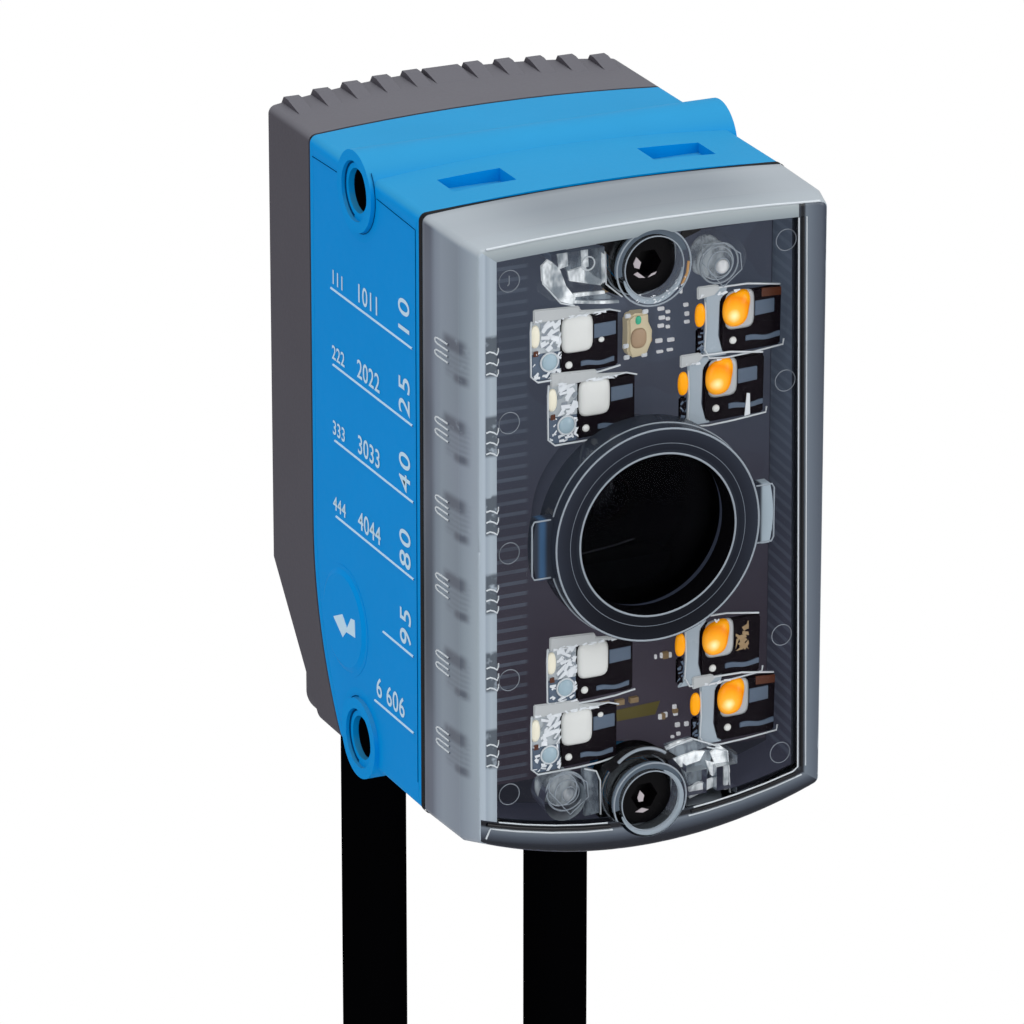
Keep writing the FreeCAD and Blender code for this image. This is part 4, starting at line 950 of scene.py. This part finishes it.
for number, (x, z) in enumerate(LEFT_BLOCKS):
    fill_block(x, z, LEFT_SLABS, LEFT_SHARDS, LEFT_RIMS)
    bubbles.dome(x - 2.35, FACE + 0.3, z + 0.75, 0.95, 1.05, 0.5)
    block_rims.tube(circle(x - 2.35, z + 0.75, 1.02, FACE + 0.15, 28), 0.12)
    white_domes.dome(x + 0.95, FACE + 0.3, z + 3.45, 1.85, 2.1, 0.75, 5.0)
    white_ovals.dome(x - 4.02, FACE + 0.25, z + 3.8, 0.55, 1.3, 0.4, 2.4)
    if number in (0, 3):
        beads.dome(x + 3.76, FACE + 0.2, z + (2.4 if number == 0 else 4.4), 0.34, 0.3, 0.2)

RIGHT_SLABS = (
    (plates, -0.05, 0.3, [(-4.45, 6.75), (-2.1, 6.75), (-1.6, 6.3), (-2.4, 5.6), (-4.45, 5.3)]),
    (blacks, 0.35, 0.8, [(-1.5, -1.0), (-1.2, -1.5), (5.75, -1.3), (5.85, 5.2), (5.5, 5.6), (-1.5, 5.4)]),
    (blacks, 0.3, 0.7, [(-4.4, -1.2), (-3.4, -1.3), (-3.5, 1.9), (-4.4, 1.9)]),
    (pale_edges, 0.2, 0.6, [
        (-3.45, 6.2), (-0.6, 6.5), (-0.9, 5.6), (-1.6, 4.8), (-1.75, 0.8),
        (-1.3, -0.9), (-0.6, -1.5), (-4.3, -1.6), (-3.5, -0.7), (-3.35, 2.0),
    ]),
    (stripes, 0.2, 0.4, wavy_bar(1.5, 5.6, -0.05, 0.55)),
)
RIGHT_STRIPE = (stripes, 0.25, 0.4, [(2.6, 2.45), (4.9, 2.6), (4.9, 4.15), (2.6, 4.1)])
WHITE_BAR = (sparks, 0.05, 0.15, [(3.35, -1.3), (4.0, -1.2), (3.95, 1.2), (3.6, 1.3)])
BROWN_CORNER = (browns, 0.25, 0.4, [(3.4, 4.5), (5.7, 4.4), (5.7, 5.3), (3.4, 5.45)])
GOLD_MARKS = (golds, 2.7, 4.3, 1.6, 4.9, 0.2, 12, 0.9)
RIGHT_SHARDS = ((slates, -4.35, -3.5, -1.0, 1.6, 0.15, 8, 0.5), (sparks, -4.2, 0.6, 5.5, 5.9, -0.1, 5, 0.6))
RIGHT_RIMS = (
    (0.11, 0.1, [(-3.4, -0.6), (-2.9, -1.55), (-1.0, -1.75), (2.0, -1.6), (5.9, -1.25), (6.0, -0.6)]),
    (0.12, 0, [(-2.0, 6.4), (1.5, 6.35), (5.4, 5.75)]),
    (0.09, 0.05, [(-3.45, 4.9), (-3.35, 2), (-3.5, -0.6)]),
)
# what each right block has beside the things that all four share
CORNERED = (RIGHT_STRIPE, BROWN_CORNER)
RIGHT_SLABS_OWN = (CORNERED, (RIGHT_STRIPE, WHITE_BAR), (), CORNERED)
RIGHT_SHARDS_OWN = ((), (), (GOLD_MARKS,), ())
for number, (x, z) in enumerate(RIGHT_BLOCKS):
    own_slabs, own_shards = RIGHT_SLABS_OWN[number], RIGHT_SHARDS_OWN[number]
    fill_block(x, z, RIGHT_SLABS + own_slabs, own_shards + RIGHT_SHARDS, RIGHT_RIMS)
    pads.dome(x + 0.75, FACE + 0.3, z + 3.45, 1.75, 2.2, 0.35, 5.0)
    amber_domes.dome(x + 0.15, FACE + 0.1, z + 3.55, 1.55, 1.95, 0.85, 2.3, 0.32)
    amber_ovals.dome(x - 4.02, FACE + 0.25, z + 3.45, 0.62, 1.35, 0.45, 2.4)

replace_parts(plates.piece("block_plates", plate_grey, "clear_lenses", bevel=0.12), "led_lenses")
soft_facet = facet("soft_facet", (138, 147, 156))
bubble = moulded("bubble", (150, 172, 184), 0.2, 500, 0.4, 0.0, 0.3, glow=0.3)
for batch, name, material, smooth, bevel in (
    (pale_edges, "block_edges", band_grey, False, 0.15),
    (bases, "block_bases", slate, False, 0.15),
    (fields, "block_fields", lit_grey, False, 0.1),
    (soft_shades, "block_soft_shades", soft_facet, False, 0),
    (golds, "block_gold_marks", tan, False, 0),
    (bubbles, "block_bubbles", bubble, True, 0),
    (blacks, "block_shades", deep, False, 0.2),
    (stripes, "block_stripes", slate, False, 0.04),
    (browns, "block_tints", umber, False, 0),
    (beads, "block_beads", milky, True, 0),
    (sparks, "block_sparks", spark, False, 0),
    (slates, "block_slates", slate, False, 0),
    (block_rims, "block_rims", bright_line, True, 0),
    (pads, "lamp_pads", plate_grey, True, 0),
):
    batch.piece(name, material, "clear_lenses", smooth, bevel)
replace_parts(white_domes.piece("white_domes", milky, "white_led", True), "white_leds")
white_ovals.piece("white_ovals", ivory, "white_led", True)
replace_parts(amber_domes.piece("amber_domes", amber, "amber_led", True), "amber_leds")
amber_ovals.piece("amber_ovals", amber, "amber_led", True)

# ---- small things on the lighting board ----

chips, dots, prints = Batch(), Batch(), Batch()
for x, z, wide, high in (
    (4.87, 21.29, 0.75, 0.4), (5.71, 20.82, 0.5, 0.35), (5.0, 20.24, 0.7, 0.4), (5.72, 20.02, 0.45, 0.35),
    (4.88, 19.34, 0.7, 0.4), (5.72, 19.11, 0.45, 0.35), (4.66, 17.66, 0.8, 0.45), (6.09, 17.57, 0.8, 0.4),
    (4.78, 16.39, 0.75, 0.3), (5.98, 16.44, 0.7, 0.3), (7.86, 21.3, 0.55, 0.4), (7.99, 20.26, 0.5, 0.45),
    (8.0, 19.34, 0.6, 0.35), (7.25, 22.99, 0.3, 0.6), (4.54, -19.03, 0.25, 0.5), (5.2, -26.25, 0.5, 0.6),
    (5.8, -26.11, 0.45, 0.6), (6.9, -25.35, 0.45, 0.5), (7.03, -26.21, 0.5, 0.4), (7.28, -27.56, 0.55, 0.5),
    (8.38, -27.63, 0.5, 0.5), (7.41, -28.65, 0.45, 0.4), (6.68, -28.88, 0.4, 0.3), (5.3, -19.0, 0.4, 0.6),
    (6.3, -19.1, 0.35, 0.6),
):
    dots.pad(x, z, wide, high, BOARD - 0.3, BOARD)
for x, z, wide, high in (
    (5.7, -19.0, 0.7, 0.8), (5.5, -26.2, 0.4, 0.7), (6.95, -25.8, 0.6, 0.5), (3.3, 18.0, 0.9, 0.5),
):
    chips.pad(x, z, wide, high, BOARD - 0.45, BOARD)
prints.slab([(-0.17, -24.61), (5.18, -24.4), (4.6, -25.9), (-0.04, -25.94)], BOARD - 0.06, BOARD)
tin = moulded("tin", (222, 224, 228), 0.3, 800, 0.5, 0.1, 0.1, glow=0.3)
dots.piece("board_pads", tin, "small_parts", bevel=0.05)
chips.piece("board_chips", tan, "small_parts", bevel=0.06)
prints.piece("board_prints", olive, "board")

octagon, core, corner_pads, green = (Batch() for _ in range(4))
shape = [
    (-1.5, 1.9), (-0.9, 2.4), (0.95, 2.3), (1.0, 1.2), (1.45, 0.2),
    (1.4, -1.0), (0.75, -2.5), (-1.1, -2.6), (-1.5, -1.8), (-1.45, 0.4),
]
octagon.slab(shifted(shape, 1.75, 19.3), 6.9, 8.6)
core.dome(1.5, 6.9, 18.9, 0.95, 1.15, 0.25, 2.6)
aiming_core = moulded("aiming_core", (176, 150, 124), 0.4, 1500, 0.3, 0.2, 0.35, glow=0.25)
core.piece("aiming_core", aiming_core, "aiming_led", True)
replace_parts(octagon.piece("aiming_package", beige, "aiming_led", bevel=0.25), "aiming_led")
for x, z in ((0.2, 21.6), (2.3, 21.8), (0.1, 16.9), (2.2, 16.9), (0.0, 18.2)):
    corner_pads.pad(x, z, 0.7, 0.5, 6.85, 7.05)
corner_pads.piece("aiming_pads", spark, "aiming_led", bevel=0.08)
green.dome(1.45, 6.9, 20.95, 0.35, 0.5, 0.15, 2.4)
green.piece("aiming_dot", mint, "aiming_led", True)

# ---- guide posts and brackets inside the hood ----

post_rims, post_body = Batch(), Batch()
for x, z, lean_x, lean_z in ((8.9, 27.7, -0.9, 0.5), (-9.0, -30.4, -1.6, 1.1)):
    post_rims.tube(circle(x, z, 2.25, 2.6, 48), 0.11)
    post_rims.tube(circle(x + lean_x * 0.5, z + lean_z * 0.5, 1.85, 2.0, 48), 0.07)
    post_rims.tube(circle(x + 0.1, z - 0.1, 1.45, 2.5, 40), 0.08)
    post_rims.tube(circle(x + 0.3, z - 0.3, 0.85, 2.4, 32), 0.07)
    post_body.dome(x + 0.35, 2.6, z - 0.4, 0.8, 0.8, 0.5)
    corner = 2.6 * (1 if z > 0 else 0.8)
    hull = ((-2.3, 0.6), (-2.3, corner), (0.2, 2.5), (2.2, 1.0), (2.4, -0.8), (0.2, -2.5))
    post_rims.tube(loop(shifted(hull, x, z), 1.9), 0.07)
post_rims.piece("guide_rims", soft_line, "clear_hood", True)
guide_core = glassy("guide_core", (112, 120, 128), (198, 200, 202), 0.8)
post_body.piece("guide_cores", guide_core, "clear_hood", True)
for number, (x, z) in enumerate(((8.6, 27.9), (-9.4, -30.1))):
    halo = Batch()
    halo.dome(x, 3.2, z, 2.2, 2.2, 0.3)
    halo.dome(x - 0.9, 3.6, z + 0.6, 2.0, 2.3, 0.2)
    name = f"guide_halo_{number + 1}"
    halo.piece(name, glassy(name, (96, 104, 114), (160, 168, 174), 0.55, 420), "clear_hood", True)

facets, dim_facets, bracket_rims = Batch(), Batch(), Batch()
for corners in (
    [
        (-12.0, 30.3), (-11.2, 31.0), (-9.9, 29.8), (-9.1, 27.7),
        (-8.0, 26.2), (-8.3, 25.5), (-9.7, 26.0), (-11.9, 28.6),
    ],
    [(-10.2, 31.6), (-9.0, 31.8), (-8.9, 29.9), (-9.9, 29.7)],
    [(-8.9, 29.3), (-7.0, 29.6), (-5.9, 28.4), (-4.7, 27.6), (-5.1, 27.2), (-7.6, 27.9), (-8.7, 28.2)],
    [(-7.3, 31.6), (-6.6, 31.7), (-6.5, 29.5), (-7.2, 29.4)],
    [(-4.9, 31.7), (-4.6, 31.7), (-4.5, 27.5), (-4.8, 27.4)],
    [(-8.2, 26.7), (-4.6, 26.5), (-4.6, 26.2), (-8.2, 26.3)],
    [(-8.2, 25.6), (-5.0, 25.1), (-2.9, 24.9), (-2.9, 25.2), (-5.0, 25.4), (-8.2, 25.9)],
    [(5.9, -32.6), (7.6, -32.2), (9.2, -31.9), (9.2, -32.9), (6.0, -33.9)],
    [(4.0, -28.9), (6.6, -28.4), (7.8, -28.6), (7.2, -29.6), (4.9, -30.0)],
    [
        (8.5, -28.9), (9.6, -28.2), (10.6, -29.0), (10.9, -31.5),
        (10.6, -33.6), (10.2, -33.6), (10.2, -30.6), (9.2, -30.6),
    ],
    [(8.0, -29.8), (9.0, -30.2), (9.3, -32.0), (8.6, -31.6)],
    [(3.0, -27.3), (4.4, -26.9), (6.3, -26.8), (6.3, -27.1), (4.5, -27.3), (3.1, -27.7)],
):
    facets.slab(corners, 2.6, 2.9)
for corners in (
    [(-9.0, 31.7), (-4.6, 31.8), (-4.6, 27.4), (-7.6, 27.9), (-9.0, 29.4)],
    [(-8.0, 26.3), (-4.6, 26.2), (-2.9, 25.3), (-8.2, 25.8)],
    [(6.3, -28.4), (9.0, -28.8), (8.2, -31.9), (6.0, -32.5), (5.2, -30.0)],
    [(3.2, -27.3), (6.3, -26.9), (8.6, -28.2), (6.6, -28.5), (4.2, -29.0)],
    [
        (-6.75, -28.2), (-5.45, -28.6), (-4.95, -29.7), (-4.85, -33.8),
        (-6.5, -33.9), (-6.3, -32.4), (-6.65, -30.5),
    ],
):
    dim_facets.slab(corners, 2.95, 3.6)
for path in (
    [(-9.2, 31.9), (-4.6, 32.0), (-4.5, 27.3), (-2.6, 25.6)],
    [(-12.0, 30.4), (-11.9, 28.4), (-9.8, 25.9), (-8.2, 25.4)],
    [(8.0, -28.1), (10.5, -29.0), (10.9, -34.0)],
    [(3.0, -27.4), (6.2, -26.8), (9.5, -28.3)],
    [(-6.8, -28.1), (-5.4, -28.6), (-4.9, -29.8), (-4.85, -33.8)],
):
    bracket_rims.tube(loop(path, 2.5), 0.1, False)
bracket_rims.tube(circle(-6.6, 29.9, 0.75, 2.5, 28), 0.09)
bracket_rims.tube(circle(7.0, -33.0, 0.95, 2.5, 28, 0.2, 3.0), 0.08, False)
bracket_light = glassy("bracket_light", (120, 130, 138), (236, 240, 242), 0.82, 420)
bracket_shade = glassy("bracket_shade", (70, 78, 90), (128, 138, 146), 0.75, 420)
facets.piece("bracket_light", bracket_light, "clear_hood")
dim_facets.piece("bracket_shade", bracket_shade, "clear_hood")
bracket_rims.piece("bracket_rims", bright_line, "clear_hood", True)

# dark reflections of the screws on the hood's upper and lower walls, and light on their collars
patches, hoop, trim, warm = (Batch() for _ in range(4))
upper_patch = [
    (-6.9, 32.4), (-5.4, 31.9), (-3.9, 30.0), (-3.6, 32.6), (4.6, 32.8),
    (3.9, 31.0), (6.6, 31.9), (5.3, 32.9), (-3.0, 33.1),
]
lower_patch = [
    (-4.6, -28.2), (-2.4, -27.0), (0, -26.6), (2.5, -27.2), (4.4, -28.6),
    (3.4, -28.9), (1.5, -27.9), (-1.6, -27.9), (-3.6, -29.2),
]
patches.slab(upper_patch, 2.2, 2.4)
patches.slab(lower_patch, 2.6, 2.8)
patches.piece("screw_reflections", dark_line, "clear_hood")
hoop.tube(circle(-0.4, -30.7, 4.35, 1.2, 20, 0.9, 1.5), 0.2, False)
hoop.piece("collar_hoop", soft_line, "clear_hood", True)
for _ in range(34):
    turn = random.uniform(-2.1, -0.45)
    reach = random.uniform(3.3, 4.2)
    x, z = reach * math.cos(turn), SCREWS[0][1] + reach * math.sin(turn)
    trim.shards(x - 0.2, x + 0.2, z - 0.16, z + 0.16, 0.25, 1, 0.34)
trim.piece("collar_sparks", spark, "clear_hood")
warm.tube([(4.3, 0.6, 29.2), (4.15, 0.6, 27.9), (3.5, 0.6, 26.7)], 0.16, False)
warm_glint = moulded("warm_glint", (222, 170, 110), 0.3, 300, 0.4, 0, 0.2)
warm.piece("collar_warm_glint", warm_glint, "amber_led", True)

# the threaded bores of the mounting bosses get a black lining: painted shade in the deep holes
bore_shade = Batch()
for z in BOSS_Z:
    for side in (-1, 1):
        bore_shade.wall(*(
            [at(side * depth, BOSS_Y + u, z + v) for u, _, v in circle(0, 0, 2.42, 0, 32)]
            for depth in (20.9, 9.0)
        ))
bore_shade.piece("boss_bore_shade", dull_black, "blue_paint")

# ---- marks on the label panel ----


def mark(path, width, batch):
    """A printed stroke on the panel through points (y, z)."""
    batch.tube([(SIDE, y, z) for y, z in path], width / 2, False, SIDEWAYS)


print_marks = Batch()
for front, back, height in (
    (14.9, 36.9, 18.5), (14.9, 36.5, 9.7), (14.8, 36.2, 0.9),
    (14.8, 36.0, -8.0), (15.0, 23.2, -17.1), (15.0, 25.6, -26.1),
):
    mark([(front, height), (back, height)], 0.26, print_marks)
print_marks.piece("panel_lines", white_print, "label_foil")


def panel_plate(batch, corners, height=0.05, base=SIDE):
    """A printed or moulded flat shape on the panel or the key, through points (y, z)."""
    low = [batch.mesh.verts.new(at(base + 0.02, y, z)) for y, z in corners]
    high = [batch.mesh.verts.new(at(base - height, y, z)) for y, z in corners]
    batch.mesh.faces.new(high)
    for number in range(len(corners)):
        after = (number + 1) % len(corners)
        batch.mesh.faces.new((low[number], low[after], high[after], high[number]))


# the foil runs on over the gap round the key, and shows it as a faint ring
key_low, key_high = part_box("function_button")
key_y = ((key_low.y + key_high.y) / 2 - FRONT) / MM
key_z = (key_low.z + key_high.z) / 2 / MM
key_reach = (key_high.z - key_low.z) / 2 / MM
ridge = Batch()
for number in range(72):
    corners = []
    for past, share in ((-0.12, 0), (0.42, 0), (0.42, 1), (-0.12, 1)):
        reach = key_reach + past
        turn = 2 * math.pi * (number + share) / 72
        corners.append((key_y + reach * math.cos(turn), key_z + reach * math.sin(turn)))
    panel_plate(ridge, corners, 0.02)
ridge.piece("key_ring", foil, "label_foil")

# a bent arrow on the face of the key, with its tip up and to the rear
arrow = Batch()
bent = [(36.36, -19.95), (33.9, -18.83), (32.57, -20.02), (31.44, -18.48)]
bent += [(30.45, -18.34), (30.3, -20.36), (32.8, -20.57), (33.75, -21.53)]
panel_plate(arrow, bent, 0.05, (key_low.x - MID) / MM)
arrow.piece("panel_arrow", white_print, "label_foil", body="button")

# seams and shades of the panel and of the bosses
seams = Batch()
mark([(14.0, 32.2), (14.0, 10), (14.0, -15), (14.0, -31.5)], 0.09, seams)
mark([(14.0, 32.2), (24.2, 32.6)], 0.1, seams)
mark([(35.0, 32.4), (41.8, 32.2)], 0.1, seams)
for middle, start in zip(BOSS_Z, (-120, 100)):
    turns = [math.radians(start + 160 * number / 14) for number in range(15)]
    mark([(BOSS_Y - 4.75 * math.cos(turn), middle + 4.75 * math.sin(turn)) for turn in turns], 0.1, seams)
    turns = [math.radians(-75 + 150 * number / 16) for number in range(17)]
    mark([(BOSS_Y + 3.22 * math.cos(turn), middle + 3.22 * math.sin(turn)) for turn in turns], 0.3, seams)
seam_shade = moulded("seam_shade", (4, 62, 112), 0.6, 900, 0.0, 0.0, 0.2)
seams.piece("panel_seams", seam_shade, "blue_paint", True)
gleam = Batch()
for middle in BOSS_Z:
    path = [(-18.6, BOSS_Y - back, middle + rise) for back, rise in ((1.55, 1.3), (1.75, 0), (1.5, -1.5))]
    gleam.tube(path, 0.3, False, SIDEWAYS)
thread_gleam = moulded("thread_gleam", (120, 116, 116), 0.4, 500, 0.3, 0, 0.3, glow=0.2)
gleam.piece("thread_gleams", thread_gleam, "blue_paint", True)


def number_on_panel(text, y, z, size, upright):
    """Plain digits printed on the panel: upright ones stand on the lines, others run up the edge."""
    curve = bpy.data.curves.new("digits", "FONT")
    curve.body = text
    curve.size = size * MM / 0.7
    curve.offset = 0.00003
    curve.space_character = 1.05 if upright else 1.2
    writing = bpy.data.objects.new("digits", curve)
    scene.collection.objects.link(writing)
    depsgraph = bpy.context.evaluated_depsgraph_get()
    shape = bpy.data.meshes.new_from_object(writing.evaluated_get(depsgraph))
    bpy.data.objects.remove(writing)
    # text x runs towards the front of the camera, and text y runs up
    turn = Matrix(((0, 0, -1), (-1, 0, 0), (0, 1, 0))).to_4x4()
    if not upright:
        turn = Matrix(((0, 0, -1), (0, 1, 0), (1, 0, 0))).to_4x4()
    shape.transform(Matrix.Translation(at(SIDE - 0.03, y, z)) @ turn)
    shape.materials.clear()
    shape.materials.append(white_print)
    made = bpy.data.objects.new("panel_number_" + text.replace(" ", "_"), shape)
    scene.collection.objects.link(made)
    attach(made, "camera")


for text, large, small, height in (
    ("10", "1011", "111", 18.5),
    ("25", "2022", "222", 9.7),
    ("40", "3033", "333", 0.9),
    ("80", "4044", "444", -8.0),
):
    number_on_panel(text, 15.7, height + 0.5, 2.9, False)
    number_on_panel(large, 29.9, height + 0.8, 2.1, True)
    number_on_panel(small, 36.8, height + 0.7, 1.6, True)
number_on_panel("95", 15.7, -16.6, 2.9, False)
number_on_panel("6 606", 25.2, -25.3, 2.3, True)

# ---- floor and light ----


def stage_material():
    """A pale floor that the view sees as plain white, and sees through from below."""
    made = Finish("stage")
    found = made.add("ShaderNodeNewGeometry")
    path = made.add("ShaderNodeLightPath")
    white = made.plain("ShaderNodeEmission", WHITE)
    matte = made.plain("ShaderNodeBsdfDiffuse", (0.62, 0.62, 0.63, 1))
    seen = path.outputs["Is Camera Ray"]
    below = made.math("MULTIPLY", found.outputs["Backfacing"], seen)
    return made.done(made.mixed(below, made.mixed(seen, matte, white), made.clear()))


floor_data = bpy.data.meshes.new("floor")
floor_z = cad_low.z - 0.002
floor_corners = [(1.5 * a, 1.5 * b, floor_z) for a, b in ((-1, -1), (1, -1), (1, 1), (-1, 1))]
floor_data.from_pydata(floor_corners, [], [(0, 1, 2, 3)])
floor_data.materials.append(stage_material())
floor = bpy.data.objects.new("floor", floor_data)
scene.collection.objects.link(floor)

# the view sees plain white, and every other ray a soft sky
scene.world = bpy.data.worlds.new("studio")
studio = Finish("studio", scene.world, "ShaderNodeOutputWorld")
sky = studio.add("ShaderNodeBackground", {0: (0.95, 0.97, 1, 1), 1: 0.62}).outputs[0]
seen = studio.plain("ShaderNodeBackground", WHITE)
ray = studio.add("ShaderNodeLightPath").outputs["Is Camera Ray"]
studio.done(studio.mixed(ray, sky, seen))


def soft_light(name, place, size, power):
    """A large soft lamp that looks at the middle of the part."""
    data = bpy.data.lights.new(name, "AREA")
    data.shape = "RECTANGLE"
    data.size, data.size_y = size
    data.energy = power
    made = bpy.data.objects.new(name, data)
    made.location = place
    made.rotation_mode = "QUATERNION"
    made.rotation_quaternion = (Vector((0.02, 0, 0)) - Vector(place)).to_track_quat("-Z", "Y")
    scene.collection.objects.link(made)


soft_light("overhead", (0.1, 0.05, 1.1), (0.9, 0.7), 7.0)
soft_light("front_left", (-0.9, -0.9, 0.5), (0.5, 0.9), 5.0)
soft_light("front_right", (0.8, -1.0, 0.3), (0.4, 0.9), 4.0)

scene.view_settings.view_transform = "Standard"
scene.view_settings.look = "None"
scene.view_settings.exposure = 0
scene.view_settings.gamma = 1
